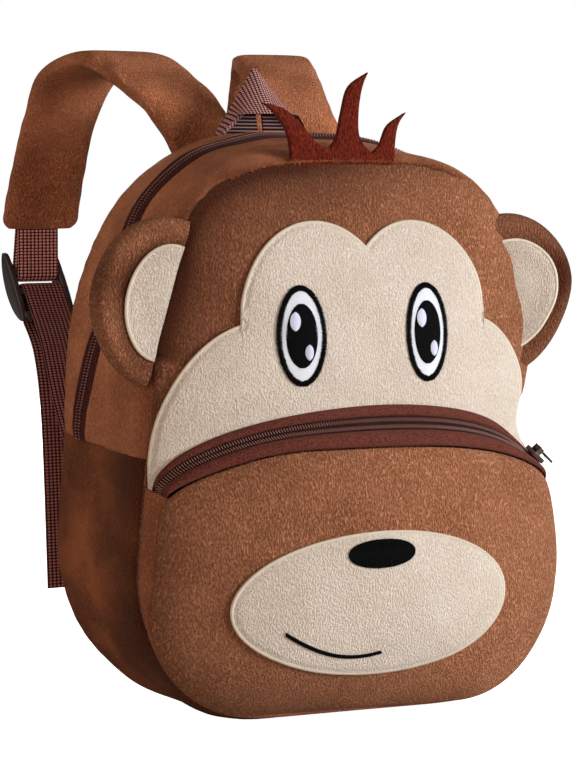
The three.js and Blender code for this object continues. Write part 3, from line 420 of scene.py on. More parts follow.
def plush(name, dark, light, sheen, grain, stretch, relief, sweep):
    """Short-pile plush: dark between the tufts, light on them, with a soft sheen at grazing angles."""
    material, shader = principled(name, {
        "Roughness": 0.9, "Specular IOR Level": 0.05,
        "Sheen Weight": sheen[0], "Sheen Roughness": 0.45, "Sheen Tint": sheen[1],
    })
    tree = material.node_tree
    nap = nap_in(tree, grain, stretch, waviness=0.0018)
    brushed = put(tree, "ShaderNodeMix", {0: sweep, 2: nap["Fleck"], 3: nap["Sweep"]})
    colour = blended(tree, brushed.outputs[0], dark, light)
    # Painted shade: the "shade" attribute darkens the colour towards a deeper tone of the same brown or cream
    painted_shade = put(tree, "ShaderNodeAttribute", attribute_name="shade").outputs["Fac"]
    shade_colour = (0.34 * dark[0], 0.24 * dark[1], 0.2 * dark[2], 1)
    tree.links.new(blended(tree, painted_shade, colour, shade_colour), shader.inputs["Base Color"])
    raised(tree, shader, nap["Fleck"], relief, distance=0.002)
    return material


brown_plush = plush(
    "brown plush", (0.19, 0.058, 0.0235, 1), (0.5, 0.202, 0.1, 1), (0.06, (1, 0.8, 0.6, 1)),
    grain=0.00085, stretch=1.8, relief=1.0, sweep=0.2,
)
brown_velvet = plush(
    "brown velvet", (0.225, 0.065, 0.026, 1), (0.58, 0.208, 0.097, 1), (0.08, (1, 0.72, 0.52, 1)),
    grain=0.0008, stretch=1.8, relief=0.8, sweep=0.4,
)
# A darker copy of the brown velvet: painted shade, for the gusset round the foot and the pile in the front
# seam
shaded_velvet = plush(
    "shaded velvet", (0.1, 0.024, 0.009, 1), (0.4, 0.116, 0.044, 1), (0.06, (1, 0.7, 0.48, 1)),
    grain=0.0008, stretch=1.8, relief=0.8, sweep=0.6,
)

middle_to_rim = 1 - (1 - np.linspace(0, 1, 44)) ** 1.6


def crowned(name, panel, shade):
    """A crowned panel of brown plush, from its middle to its rim."""
    sewn(cloth_wall(
        name, panel.rings(middle_to_rim, 0), panel.rings(middle_to_rim, -PLUSH), brown_plush,
        hoop=True, shade=shade,
    ), "brown_plush", name)


front_outline = body_outline(0)[0]
front = Crown(
    front_outline, FRONT["middle_z"], lambda x, z: np.full_like(x, FRONT["rim_y"]),
    FRONT["middle_y"], FRONT["fullness"],
)
# Painted shade on the front panel: an even darkening towards the left, away from the key light, and more
# along the rim by the seam and over the top, both also stronger towards the left
left_shade = (0.75 - front.line[:, 0] / 110).clip(0, 1)
rim_shade = FRONT_SHADE["rim"] * hump(middle_to_rim, 1, FRONT_SHADE["rim_width"])
crown_shade = FRONT_SHADE["crown"] * hump(middle_to_rim, 1, FRONT_SHADE["crown_width"])
crowned("front_panel", front, FRONT_SHADE["even"] * left_shade + np.outer(rim_shade, left_shade)
        + np.outer(crown_shade, left_shade * (front.line[:, 1] > FRONT_SHADE["crown_z"])))

back_outline = body_outline(1)[0]
back_shares = np.concatenate([np.linspace(0, 0.9, 12), 1 - 0.1 * (1 - np.linspace(0, 1, 14)[1:]) ** 1.5])


def back_rings(drop):
    """Rings of the back panel, nearly flat, its edge drawn in to the seam."""
    line = back_outline[::PANEL_STEP]
    share = back_shares[:, None]
    swell = (1 - share ** 16) ** 0.6
    y = BACK["rim_y"] + (BACK["rise"] - drop) * swell + np.zeros(len(line))
    return np.stack([line[:, 0] * share, y, mix(BACK["middle_z"], line[:, 1], share)], -1)


sewn(cloth_wall("back_panel", back_rings(0), back_rings(PLUSH), brown_velvet, hoop=True),
     "brown_plush", "back_panel")

# The gusset: lines from front to back, how far its strips swing forward at the shoulders, the shares of
# the way back where they start and end, and the slack in them
LINES = 33
ZIP_SWING = 1.6
GUSSET = dict(front=-0.004, zip_front=0.66, zip_back=0.75, back=1.006, zip_lift=2.2, lift_over=0.05)
SLACK = dict(folds=0.7, ripples=0.35, fade=12, pucker=0.3, near=5)


def bulge(share):
    """How far the gusset swells outwards, at a share of the way back."""
    return BULGE * (1 - (2 * share - 1) ** FLATNESS)


def gusset_lines(part, count):
    """Lines from the front seam to the back one, over the top or round the foot: x, z and outward normal."""
    rows = []
    for share in np.linspace(0, 1, LINES):
        line, split_z = body_outline(share)
        grid = np.arange(len(line)) / len(line)
        split = np.argmax(line[:, 1] >= split_z) / len(line)
        picks = np.linspace(-split, split, count) if part == "foot" else np.linspace(split, 1 - split, count)
        rows.append(picked(picks, grid, np.column_stack([line, outward(line)]), period=1))
    return np.stack(rows)


def between_lines(lines, shares):
    """Each column of the lines at its own share of the way back."""
    at = shares * (LINES - 1)
    first = at.astype(int).clip(0, LINES - 2)
    column = np.arange(lines.shape[1])
    return mix(lines[first, column], lines[first + 1, column], (at - first)[:, None])


def strip_row(lines, share, grow):
    """Points across the gusset at one depth, which swings forward at the bag's shoulders."""
    level = between_lines(lines, np.full(lines.shape[1], share))
    top = mix(SECTIONS["front"]["top"], SECTIONS["back"]["top"], share)
    up = ((level[:, 1] - DOME_Z) / (top - DOME_Z)).clip(0, 1)
    shoulder = np.sqrt(1 - up ** 12) * np.minimum(1, up / 0.45)
    depth = share - ZIP_SWING * shoulder * share ** 2 * (1 - share)
    at = between_lines(lines, depth)
    normal = at[:, 2:]
    spot = at[:, :2] + normal * bulge(depth)[:, None]
    spot[:, 1] = spot[:, 1].clip(0)
    run = run_along(spot)
    y = mix(SECTIONS["front"]["y"], SECTIONS["back"]["y"], depth)
    ends = np.minimum(run, run[-1] - run)
    sink = GROOVE["sink"] * hump(ends, 0, GROOVE["width"])
    folds = SLACK["folds"] * np.sin(run / 21 + y / 15) * np.sin(y / 17 + 0.9)
    ripples = SLACK["ripples"] * np.sin(run / 8 - y / 9)
    seams = np.minimum(np.abs(y - SECTIONS["front"]["y"]), np.abs(y - SECTIONS["back"]["y"]))
    pucker = SLACK["pucker"] * np.exp(-seams / SLACK["near"]) * np.sin(run / 1.9 + 2 * np.sin(run / 17))
    loose = (folds + ripples) * (seams / SLACK["fade"]).clip(0, 1) + pucker - sink
    spot = spot + normal * (np.where(spot[:, 1] < 0.5, 0, loose) + grow)[:, None]
    return np.column_stack([spot[:, 0], y, spot[:, 1].clip(0)])


def gusset_strip(name, lines, shares, material, slot, lift=0, thick=PLUSH, seam_shade=(0, 1), broad_patches=0):
    """A strip of the gusset, with painted shade beside the front seam and darker in broad patches."""
    lifts = np.broadcast_to(lift, len(shares))
    outer = np.stack([strip_row(lines, share, up) for share, up in zip(shares, lifts)])
    inner = np.stack([strip_row(lines, share, up - thick) for share, up in zip(shares, lifts)])
    y, z = outer[..., 1], outer[..., 2]
    shade = seam_shade[0] * hump(y, SECTIONS["front"]["y"], seam_shade[1])
    shade = shade + broad_patches * (0.5 + 0.5 * np.sin(y / 11 + z / 24 + 1.4) * np.sin(z / 33 - y / 21))
    return sewn(cloth_wall(name, outer, inner, material, shade=shade), slot, name)


top_lines = gusset_lines("top", 200)
foot_lines = gusset_lines("foot", 190)
before_zip = np.linspace(GUSSET["front"], GUSSET["zip_front"], 30)
behind_zip = np.linspace(GUSSET["zip_back"], GUSSET["back"], 16)
whole_way = np.linspace(GUSSET["front"], GUSSET["back"], 40)
gusset_strip("gusset_front_strip", top_lines, before_zip, brown_velvet, "brown_plush",
             seam_shade=(0.4, 6), broad_patches=0.15)
gusset_strip("gusset_back_strip", top_lines, behind_zip, brown_velvet, "brown_plush",
             lift=GUSSET["zip_lift"] * np.exp(-(behind_zip - GUSSET["zip_back"]) / GUSSET["lift_over"]))
# The strip round the foot takes the shaded velvet and more seam shade: painted shade low on the bag
gusset_strip("gusset_base", foot_lines, whole_way, shaded_velvet, "brown_plush",
             seam_shade=(0.7, 20), broad_patches=0.4)

# The main zip: a woven tape sunk between the gusset strips, with a nylon coil down its middle.
# The coil is two rows of slanted teeth; its slider waits at the right end.
MAIN_ZIP = dict(front=0.635, back=0.752, middle=0.7, front_lift=0.2, back_lift=2, tape=1.1)
MAIN_COIL = dict(apart=0.9, front_lift=1.1, back_lift=1.9, turn=0.35)
TAPE_GRAIN = 0.0006


def stitch_tree():
    """Rounded bars set across a line: threads, satin stitches or zip teeth. The line's points carry the
    directions up and across, and reach, by which each bar's length is multiplied."""
    tree = bpy.data.node_groups.new("stitch row", "GeometryNodeTree")
    tree.interface.new_socket("Line", in_out="INPUT", socket_type="NodeSocketGeometry")
    for name in ("Pitch", "Length", "Width", "Height", "Turn", "Unevenness"):
        tree.interface.new_socket(name, in_out="INPUT", socket_type="NodeSocketFloat")
    tree.interface.new_socket("Seed", in_out="INPUT", socket_type="NodeSocketInt")
    tree.interface.new_socket("Thread", in_out="INPUT", socket_type="NodeSocketMaterial")
    tree.interface.new_socket("Stitches", in_out="OUTPUT", socket_type="NodeSocketGeometry")
    start = put(tree, "NodeGroupInput").outputs

    def stored(name, kind):
        read = put(tree, "GeometryNodeInputNamedAttribute", {"Name": name}, data_type=kind)
        return read.outputs["Attribute"]

    def sum_of(operation, a, b=0.5):
        return reckoned(tree, operation, a, b)

    line = put(tree, "GeometryNodeMeshToCurve", {"Mesh": start["Line"]})
    spaced = put(tree, "GeometryNodeResampleCurve", {
        "Curve": line.outputs["Curve"], "Length": start["Pitch"],
    }, mode="LENGTH")
    ball = put(tree, "GeometryNodeMeshUVSphere", {"Segments": 6, "Rings": 4, "Radius": 0.5})
    spot = put(tree, "ShaderNodeSeparateXYZ", {0: put(tree, "GeometryNodeInputPosition").outputs[0]}).outputs
    blunt = sum_of("MULTIPLY", sum_of("SIGN", spot["Z"]), sum_of("POWER", sum_of(
        "MULTIPLY", sum_of("ABSOLUTE", spot["Z"]), 2.0)))
    bar = put(tree, "GeometryNodeSetPosition", {
        "Geometry": ball.outputs["Mesh"],
        "Position": put(tree, "ShaderNodeCombineXYZ", {
            "X": spot["X"], "Y": spot["Y"], "Z": sum_of("MULTIPLY", blunt, 0.5),
        }).outputs[0],
    })
    chance = put(tree, "FunctionNodeRandomValue", {"Seed": start["Seed"]}, data_type="FLOAT")
    spread = sum_of("MULTIPLY", sum_of("SUBTRACT", chance.outputs[1], 0.5), start["Unevenness"])
    facing = put(tree, "FunctionNodeAxesToRotation", {
        "Primary Axis": stored("across", "FLOAT_VECTOR"), "Secondary Axis": stored("up", "FLOAT_VECTOR"),
    }, primary_axis="Z", secondary_axis="X")
    turn = put(tree, "FunctionNodeEulerToRotation", {
        0: put(tree, "ShaderNodeCombineXYZ", {"X": sum_of("ADD", start["Turn"], spread)}).outputs[0],
    })
    turned = put(tree, "FunctionNodeRotateRotation", {
        "Rotation": facing.outputs[0], "Rotate By": turn.outputs[0],
    }, rotation_space="LOCAL")
    length = sum_of("MULTIPLY", sum_of("MULTIPLY", start["Length"], stored("reach", "FLOAT")), sum_of(
        "ADD", spread, 1.0))
    bars = put(tree, "GeometryNodeInstanceOnPoints", {
        "Points": spaced.outputs["Curve"], "Instance": bar.outputs["Geometry"],
        "Rotation": turned.outputs[0],
        "Scale": put(tree, "ShaderNodeCombineXYZ", {
            "X": start["Height"], "Y": start["Width"], "Z": length,
        }).outputs[0],
    })
    real = put(tree, "GeometryNodeRealizeInstances", {"Geometry": bars.outputs["Instances"]})
    smooth = put(tree, "GeometryNodeSetShadeSmooth", {"Geometry": real.outputs["Geometry"]})
    finish = put(tree, "GeometryNodeSetMaterial", {
        "Geometry": smooth.outputs["Geometry"], "Material": start["Thread"],
    })
    put(tree, "NodeGroupOutput", {"Stitches": finish.outputs["Geometry"]})
    return tree


stitches = stitch_tree()


def plain_mesh(grower):
    """The mesh that an object grows, in place of the object."""
    mesh = bpy.data.meshes.new_from_object(grower.evaluated_get(bpy.context.evaluated_depsgraph_get()))
    bpy.data.objects.remove(grower)
    return mesh


def stitch_row(name, points, up, thread, pitch, length, width, height, across=None, reach=1.0,
               turn=0.0, unevenness=0.0, closed=False):
    """A row of bars along a line of points, in millimetres, made a plain mesh."""
    points = settled(np.asarray(points))
    if across is None:
        across = np.cross(up, heading(points, closed))
    count = len(points)
    edges = [(i, (i + 1) % count) for i in range(count if closed else count - 1)]
    mesh = bpy.data.meshes.new(name)
    mesh.from_pydata((points * MM).tolist(), edges, [])
    for key, direction in (("up", up), ("across", across)):
        vectors = np.broadcast_to(direction, (count, 3)).astype(np.float32)
        mesh.attributes.new(key, "FLOAT_VECTOR", "POINT").data.foreach_set("vector", vectors.ravel())
    reaches = np.broadcast_to(reach, count).astype(np.float32)
    mesh.attributes.new("reach", "FLOAT", "POINT").data.foreach_set("value", reaches)
    line = placed(name, mesh)
    rows = line.modifiers.new("stitches", "NODES")
    rows.node_group = stitches
    values = {
        "Pitch": pitch * MM, "Length": length * MM, "Width": width * MM, "Height": height * MM,
        "Turn": turn, "Unevenness": unevenness, "Seed": 7, "Thread": thread,
    }
    for socket in stitches.interface.items_tree:
        if socket.name in values:
            rows[socket.identifier] = values[socket.name]
    grown = plain_mesh(line)
    grown.name = name
    return placed(name, grown)


def standing(place, first, second, lift):
    """Points that a surface gives for two places and a lift, and the way off the surface there."""
    spots = place(first, second, lift)
    return spots, unit(place(first, second, lift + 1) - spots)


def woven(name, dark, light):
    """Tape cloth: a fine even grain of crossing threads, light on dark."""
    material, shader = principled(name, {
        "Roughness": 0.9, "Specular IOR Level": 0.06, "Sheen Weight": 0.02, "Sheen Roughness": 0.5,
    })
    tree = material.node_tree
    place = put(tree, "ShaderNodeTexCoord").outputs["Object"]
    slub = put(tree, "ShaderNodeTexNoise", {"Vector": place, "Scale": 1 / TAPE_GRAIN, "Detail": 2.0})
    thread = masked(tree, slub.outputs["Fac"], 0.32, 0.7)
    tree.links.new(blended(tree, thread, dark, light), shader.inputs["Base Color"])
    raised(tree, shader, thread, strength=0.6, distance=0.0004)
    return material


maroon_tape = woven("maroon tape", (0.012, 0.003, 0.003, 1), (0.07, 0.018, 0.015, 1))
coil_nylon = principled("coil nylon", {
    "Base Color": (0.24, 0.115, 0.095, 1), "Roughness": 0.5, "Specular IOR Level": 0.25,
})[0]
gusset_strip(
    "main_zip_tape", top_lines, np.linspace(MAIN_ZIP["front"], MAIN_ZIP["back"], 6), maroon_tape, "zip_tape",
    lift=np.linspace(MAIN_ZIP["front_lift"], MAIN_ZIP["back_lift"], 6), thick=MAIN_ZIP["tape"],
)

zip_run, zip_up = standing(strip_row, gusset_lines("top", 400), MAIN_ZIP["middle"], 0)
for side, sign in (("front", -1), ("back", 1)):
    row = zip_run + [0, sign * MAIN_COIL["apart"], 0] + zip_up * MAIN_COIL[f"{side}_lift"]
    sewn(stitch_row(
        f"main_zip_coil_row_{side}", row, zip_up, coil_nylon,
        pitch=1.45, length=1.15, width=0.6, height=0.9, turn=sign * MAIN_COIL["turn"],
    ), "zip_coil")
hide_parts("main_zip_coil")

# Pile caught in the front seam: loose tufts of the brown plush, which stand up over the seam at the top
# of the head and over the foot of the hair. Each one is a thin bar set along the seam.
SEAM_PILE = dict(low_z=250, y=-42, forward=-0.3)
pile_part = front_outline[:, 1] > SEAM_PILE["low_z"]


def at_depth(line, y):
    """Points of a flat line of {x, z}, put at a depth."""
    return np.column_stack([line[:, 0], np.full(len(line), y), line[:, 1]])


clumps = np.arange(pile_part.sum())
sewn(stitch_row(
    "front_seam_pile", at_depth(front_outline[pile_part], SEAM_PILE["y"]), np.array([0, -1.0, 0]),
    shaded_velvet, pitch=0.3, length=2.8, width=0.24, height=0.24, unevenness=1.7,
    across=unit(at_depth(outward(front_outline)[pile_part], SEAM_PILE["forward"])),
    reach=0.35 + 0.65 * np.abs(np.sin(clumps / 3.1) * np.sin(clumps / 7.7)),
), "brown_plush")

# The pocket: a crowned front of the brown plush, with a narrow strip of it round the sides and the foot.
# It is sewn to the lower half of the front panel by that strip, and its upper edge carries a zip.
POCKET = dict(
    foot=108.5, side=104.5, lift=4, corner=54, side_z=103, rise=24.5,
    middle_z=66, front_y=-80, depth=9.5, fullness=0.75,
)
LEFT_RISE = dict(by=2.4, x=-52, spread=30)
POCKET_STRIP = dict(seam_y=-42.2, seam_over=9.5, rim_over=5, rim_in=0.4, swell_y=-46.5, swell=1.5, thick=2)


def left_rise(x):
    """How far the pocket's upper edge is drawn up, left of the middle."""
    return LEFT_RISE["by"] * hump(x, LEFT_RISE["x"], LEFT_RISE["spread"])


def pocket_rim(x, z):
    """Depth of the pocket's rim, which stands off the front panel."""
    return front.depth(x, z) - POCKET["depth"]


arch = np.radians(np.linspace(0, 90, 50)[1:])
pocket_half = np.vstack([
    foot_line(POCKET["foot"], POCKET["corner"], POCKET["side"], POCKET["lift"], POCKET["side_z"]),
    np.column_stack([POCKET["side"] * np.cos(arch), POCKET["side_z"] + POCKET["rise"] * np.sin(arch)]),
])
pocket_outline = closed_curve(pocket_half)
pocket_outline[:, 1] += left_rise(pocket_outline[:, 0]) * (pocket_outline[:, 1] > POCKET["side_z"] - 5)
pocket = Crown(
    pocket_outline, POCKET["middle_z"], pocket_rim, POCKET["front_y"], POCKET["fullness"],
)
# Painted shade on the pocket front: darker towards its rim and towards the left, away from the key light
crowned("pocket_panel", pocket, np.outer(
    0.32 * middle_to_rim ** 0.5, (0.55 - pocket.line[:, 0] / 130).clip(0, 1)))


def lower_run(outline, top_z, count):
    """The part of an outline below a height, from its left end round the foot to its right end."""
    grid = np.arange(len(outline)) / len(outline)
    end = np.argmax(outline[:, 1] >= top_z) / len(outline)
    return picked(np.linspace(-end, end, count), grid, outline, period=1)


def pocket_strip(inset, rows=16, count=200):
    """Rows of the strip from the front seam to the pocket's rim, swelling between them."""
    seam = lower_run(front_outline, POCKET["side_z"] + POCKET_STRIP["seam_over"], count)
    rim = lower_run(pocket_outline, POCKET["side_z"] + POCKET_STRIP["rim_over"], count)
    out = outward(seam, closed=False)
    first = at_depth(seam, POCKET_STRIP["seam_y"])
    swell = at_depth(mix(seam, rim, 0.5) + out * POCKET_STRIP["swell"], POCKET_STRIP["swell_y"])
    last = at_depth(rim, pocket_rim(rim[:, 0], rim[:, 1]) + POCKET_STRIP["rim_in"])
    bend = 2 * swell - (first + last) / 2
    share = np.linspace(0, 1, rows)[:, None, None]
    line = (1 - share) ** 2 * first + 2 * share * (1 - share) * bend + share ** 2 * last
    return line - inset * at_depth(out, 0)


strip_rows = pocket_strip(0)
# Painted shade on the pocket's strip: darker towards the left, away from the key light
sewn(cloth_wall(
    "pocket_gusset", strip_rows, pocket_strip(POCKET_STRIP["thick"]), brown_velvet,
    shade=0.5 * (-strip_rows[..., 0] / 100).clip(0, 1),
), "brown_plush", "pocket_gusset")

# The pocket zip: two russet tapes, rolled over along the arch, with a nylon coil sunk between them.
# The upper tape is sewn to the front panel and the lower one to the pocket, and both tuck in at the ends.
# Angles are round the arch in degrees, and shares go down the band from the upper tape to the lower one.
POCKET_ZIP = dict(half=103.5, side_z=110, rise=36, first=5, coil_start=0.25, coil_end=0.63, slit=0.005)
ZIP_END = dict(short=8, short_over=30, sink=2, sink_over=6)
ZIP_LIFT = dict(panel=1.5, pocket=0.8, tape=1.1, teeth=0.55)
ZIP_FACING = (0.5, -0.75, 0.65)
ZIP_BED = dict(lap=0.02, top=0.2, under=-0.6)


def zip_band(angle, share, lift):
    """A place on the zip's band: round its arch, down its width and off its surface."""
    angle, share, lift = np.broadcast_arrays(np.radians(angle), share, lift)
    c = np.cos(angle)
    s = np.sin(angle)
    top_z = POCKET_ZIP["side_z"] + POCKET_ZIP["rise"] * s
    top = front.point(POCKET_ZIP["half"] * c, top_z, ZIP_LIFT["panel"])
    off_end = np.minimum(angle, math.pi - angle) - math.radians(POCKET_ZIP["first"])
    near_end = (1 - off_end / math.radians(ZIP_END["short_over"])).clip(0, 1)
    short_end = -math.radians(ZIP_END["short"]) * near_end ** 2 * (c < 0)
    low_x = POCKET["side"] * np.cos(angle + short_end)
    low_z = POCKET["side_z"] + POCKET["rise"] * np.sin(angle + short_end)
    low = np.stack([low_x, pocket_rim(low_x, low_z), low_z + left_rise(low_x) + ZIP_LIFT["pocket"]], -1)
    aside, ahead, up = ZIP_FACING
    out = unit(np.stack([aside * c, np.full_like(c, ahead), np.full_like(c, up)], -1))
    sunk_end = ZIP_END["sink"] * (1 - off_end / math.radians(ZIP_END["sink_over"])).clip(0, 1) ** 2
    return mix(top, low, share[..., None]) + out * (lift - sunk_end)[..., None]


zip_angles = np.linspace(POCKET_ZIP["first"], 180 - POCKET_ZIP["first"], 160)
russet_tape = woven("russet tape", (0.045, 0.0105, 0.007, 1), (0.125, 0.033, 0.021, 1))
for name, first, last, roll in (
    ("upper", 0, POCKET_ZIP["coil_start"] - POCKET_ZIP["slit"], 0.6),
    ("lower", POCKET_ZIP["coil_end"] + POCKET_ZIP["slit"], 1, 1.2),
):
    share = np.linspace(0, 1, 10)[:, None]
    across = mix(first, last, share)
    rolled = ZIP_LIFT["tape"] + roll * np.sin(math.pi * share) ** 0.7
    sewn(cloth_wall(
        f"pocket_zip_{name}_tape", zip_band(zip_angles, across, rolled), zip_band(zip_angles, across, 0),
        russet_tape,
    ), "zip_tape", f"pocket_zip_{name}_tape")

dark_tape = woven("dark tape", (0.006, 0.002, 0.002, 1), (0.035, 0.011, 0.009, 1))
bed = np.linspace(POCKET_ZIP["coil_start"] - ZIP_BED["lap"], POCKET_ZIP["coil_end"] + ZIP_BED["lap"], 5)
sewn(cloth_wall(
    "pocket_zip_coil_bed", zip_band(zip_angles, bed[:, None], ZIP_BED["top"]),
    zip_band(zip_angles, bed[:, None], ZIP_BED["under"]), dark_tape,
), "zip_coil", "pocket_zip_coil")
fine_angles = np.linspace(POCKET_ZIP["first"], 180 - POCKET_ZIP["first"], 500)
for name, share, turn in (("upper", 0.352, 0.12), ("lower", 0.528, 0.4)):
    sewn(stitch_row(
        f"pocket_zip_teeth_{name}", *standing(zip_band, fine_angles, share, ZIP_LIFT["teeth"]), coil_nylon,
        pitch=1.3, length=2.3, width=0.42, height=0.8, turn=turn,
    ), "zip_coil")

# The face: one patch of short cream plush, cut with two forehead lobes over two cheeks.
# It is sewn flat on the front panel with a border of ivory satin stitch, and ends at the pocket zip.
# Lobe and cheek are parts of ellipses: middle x and z, half width and half height, and degrees.
FACE = dict(
    lobe=(26, 186, 38.5, 44.5), lobe_turn=(10, 132.5), cheek=(55, 113, 48.5, 72.9), cheek_turn=(8, 78.7),
    zip_gap=0.4, left_pull=1.8, pull_x=-70, pull_over=33,
)
PATCH_LIFT = 0.3
PATCH = 1.6
PATCH_UNDER = -0.4
PATCH_EDGE = dict(press=0.9, width=1.6, border=0.7, border_lift=0.8)
CREASE = dict(inset=2.2, width=0.8, sink=0.4)
cream_plush = plush(
    "cream plush", (0.4, 0.318, 0.25, 1), (0.54, 0.458, 0.39, 1), (0.15, (1, 0.95, 0.9, 1)),
    grain=0.00075, stretch=1.7, relief=0.5, sweep=0.25,
)
ivory_thread = principled("ivory thread", {
    "Base Color": (0.51, 0.43, 0.33, 1), "Roughness": 0.55, "Sheen Weight": 0.2,
})[0]


def ellipse_part(shape, first, last, count):
    """Part of an ellipse, between two angles in degrees."""
    x, z, a, b = shape
    angle = np.radians(np.linspace(first, last, count))
    return np.column_stack([x + a * np.cos(angle), z + b * np.sin(angle)])


face_half = np.vstack([
    ellipse_part(FACE["cheek"], *FACE["cheek_turn"], 50), ellipse_part(FACE["lobe"], *FACE["lobe_turn"], 70),
])
face_top = np.vstack([face_half, face_half[-2::-1] * [-1, 1]])
face_top[:, 0] -= FACE["left_pull"] * ((FACE["pull_x"] - face_top[:, 0]) / FACE["pull_over"]).clip(0, 1)
face_low = POCKET_ZIP["side_z"] + FACE["zip_gap"] + POCKET_ZIP["rise"] * np.sqrt(
    1 - (np.abs(face_top[:, 0]) / POCKET_ZIP["half"]).clip(0, 1) ** 2)


def cream_patch(name, surface, x, z, edge, hoop=False, shade=None):
    """A patch on a surface, pressed down at its edge, with a crease along the inner side of its border."""
    gap = np.hypot(x[..., None] - edge[:, 0], z[..., None] - edge[:, 1]).min(-1)
    pressed = PATCH_EDGE["press"] * hump(gap, 0, PATCH_EDGE["width"])
    lift = PATCH_LIFT + PATCH - pressed - CREASE["sink"] * hump(gap, CREASE["inset"], CREASE["width"])
    sewn(cloth_wall(
        name, surface.point(x, z, lift), surface.point(x, z, PATCH_UNDER), cream_plush,
        hoop=hoop, shade=shade,
    ), "cream_plush", name)


def even_line(line, step=0.4, closed=False):
    """A line of {x, z} points made even, its points a step apart."""
    line = np.vstack([line, line[:1]]) if closed else line
    run = run_along(line)
    return picked(np.linspace(0, run[-1], int(run[-1] / step), endpoint=not closed), run, line)


def edged(name, surface, line, closed=False):
    """The satin-stitched border of a patch, from just outside its edge to the crease."""
    path = line - outward(line, closed) * PATCH_EDGE["border"]
    spots, up = standing(surface.point, path[:, 0], path[:, 1], PATCH_LIFT + PATCH_EDGE["border_lift"])
    sewn(stitch_row(
        f"{name}_border", spots, up, ivory_thread, pitch=0.5, length=1.6, width=0.62, height=0.8,
        unevenness=0.14, closed=closed,
    ), "cream_plush")


face_x = np.broadcast_to(face_top[:, 0], (60, len(face_top)))
face_z = mix(face_low, face_top[:, 1], np.sin(np.linspace(0, math.pi / 2, 60))[:, None])
cream_patch("face_patch", front, face_x, face_z, face_top)
edged("face_patch", front, even_line(face_top))

# The eyes: embroidered through the face patch in layers, each a thin plate under threads side by side.
# White threads lie across, then the black pupil and two glints, and a black satin rim covers the edge.
# Each eye has its half width and its pupil's, and each glint its place from the middle and half sizes.
EYE = dict(shift_x=-4, x=33, z=179, b=22.7, rim=2.6, white_in=1.4, pupil_b=14.6, layer=0.35)
EYE_PLATE = dict(thick=0.5, inset=0.2, threads=0.45)
EYES = (("left", -1, 12.2, 7.8), ("right", 1, 11.7, 7.5))
GLINTS = (("upper", -3.3, 6.6, 2.7, 4.1), ("lower", 3.3, -7.4, 2.2, 3.4))
THREAD_LIFT = PATCH_LIFT + PATCH + 0.3
black_thread = principled("black thread", {
    "Base Color": (0.0018, 0.0018, 0.002, 1), "Roughness": 0.8, "Specular IOR Level": 0.04,
})[0]
white_thread, glint_thread = (
    principled(name, {"Base Color": colour, "Roughness": 0.6, "Specular IOR Level": 0.3})[0]
    for name, colour in (("white thread", (0.52, 0.52, 0.55, 1)), ("glint thread", (0.45, 0.45, 0.55, 1)))
)


def power_of(wave, power):
    """A wave raised to a power, its sign kept."""
    return np.sign(wave) * np.abs(wave) ** power


def oval(x, z, a, b, count=72, square=2):
    """An oval, or with a larger number a squarer one."""
    angle = np.linspace(0, 2 * math.pi, count, endpoint=False)
    return np.column_stack([
        x + a * power_of(np.cos(angle), 2 / square), z + b * power_of(np.sin(angle), 2 / square),
    ])


def oval_plate(name, surface, x, z, a, b, low, high, material, square=2):
    """A thin oval lying on a crowned surface."""
    line = oval(0, 0, a, b, square=square)
    share = np.linspace(0, 1, 4)[:, None]
    grid_x = x + line[:, 0] * share
    grid_z = z + line[:, 1] * share
    return cloth_wall(name, surface.point(grid_x, grid_z, high), surface.point(grid_x, grid_z, low), material,
                      hoop=True)


def filled(name, surface, x, z, a, b, lift, thread, upright=False, unevenness=0.0, square=2):
    """An oval filled with threads side by side, lying across it or upright."""
    span = np.linspace(-0.97, 0.97, 80)
    chord = 2 * (1 - np.abs(span) ** square) ** (1 / square)
    line_x = x + (a * span if upright else 0 * span)
    line_z = z + (0 * span if upright else b * span)
    spots, up = standing(surface.point, line_x, line_z, lift)
    aside_x = 0 if upright else 0.7 * a
    aside_z = 0.7 * b if upright else 0
    across = surface.point(line_x + aside_x, line_z + aside_z, lift)
    across = across - surface.point(line_x - aside_x, line_z - aside_z, lift)
    return stitch_row(name, spots, up, thread, pitch=0.5, length=1, width=0.62, height=0.6,
                      across=unit(across), reach=chord * (b if upright else a), unevenness=unevenness)


for side, sign, half, pupil in EYES:
    x = EYE["shift_x"] + sign * EYE["x"]
    z = EYE["z"]
    white = (half - EYE["white_in"], EYE["b"] - EYE["white_in"])
    layers = [
        ("eye_white", x, z, *white, 0, white_thread, "white_thread"),
        ("eye_pupil", x, z, pupil, EYE["pupil_b"], 1, black_thread, "black_thread"),
    ]
    for name, dx, dz, a, b in GLINTS:
        layers.append((f"eye_glint_{name}", x + dx, z + dz, a, b, 2, glint_thread, "white_thread"))
    for name, at_x, at_z, a, b, layer, thread, slot in layers:
        base = THREAD_LIFT - EYE_PLATE["thick"] + EYE["layer"] * layer
        plate = oval_plate(
            f"{name}_{side}", front, at_x, at_z, a - EYE_PLATE["inset"], b - EYE_PLATE["inset"],
            base, base + EYE_PLATE["thick"], thread,
        )
        sewn(plate, slot, f"{name}_{side}")
        threads = filled(
            f"{name}_threads_{side}", front, at_x, at_z, a, b, base + EYE_PLATE["threads"], thread,
            unevenness=0.06,
        )
        sewn(threads, slot)
    rim_line = oval(x, z, half - EYE["rim"] / 2, EYE["b"] - EYE["rim"] / 2, 300)
    spots, up = standing(front.point, rim_line[:, 0], rim_line[:, 1], THREAD_LIFT + 0.1)
    sewn(stitch_row(
        f"eye_rim_{side}", spots, up, black_thread, pitch=0.42, length=EYE["rim"] + 0.3, width=0.6,
        height=1.1, unevenness=0.3, closed=True,
    ), "black_thread", f"eye_rim_{side}")

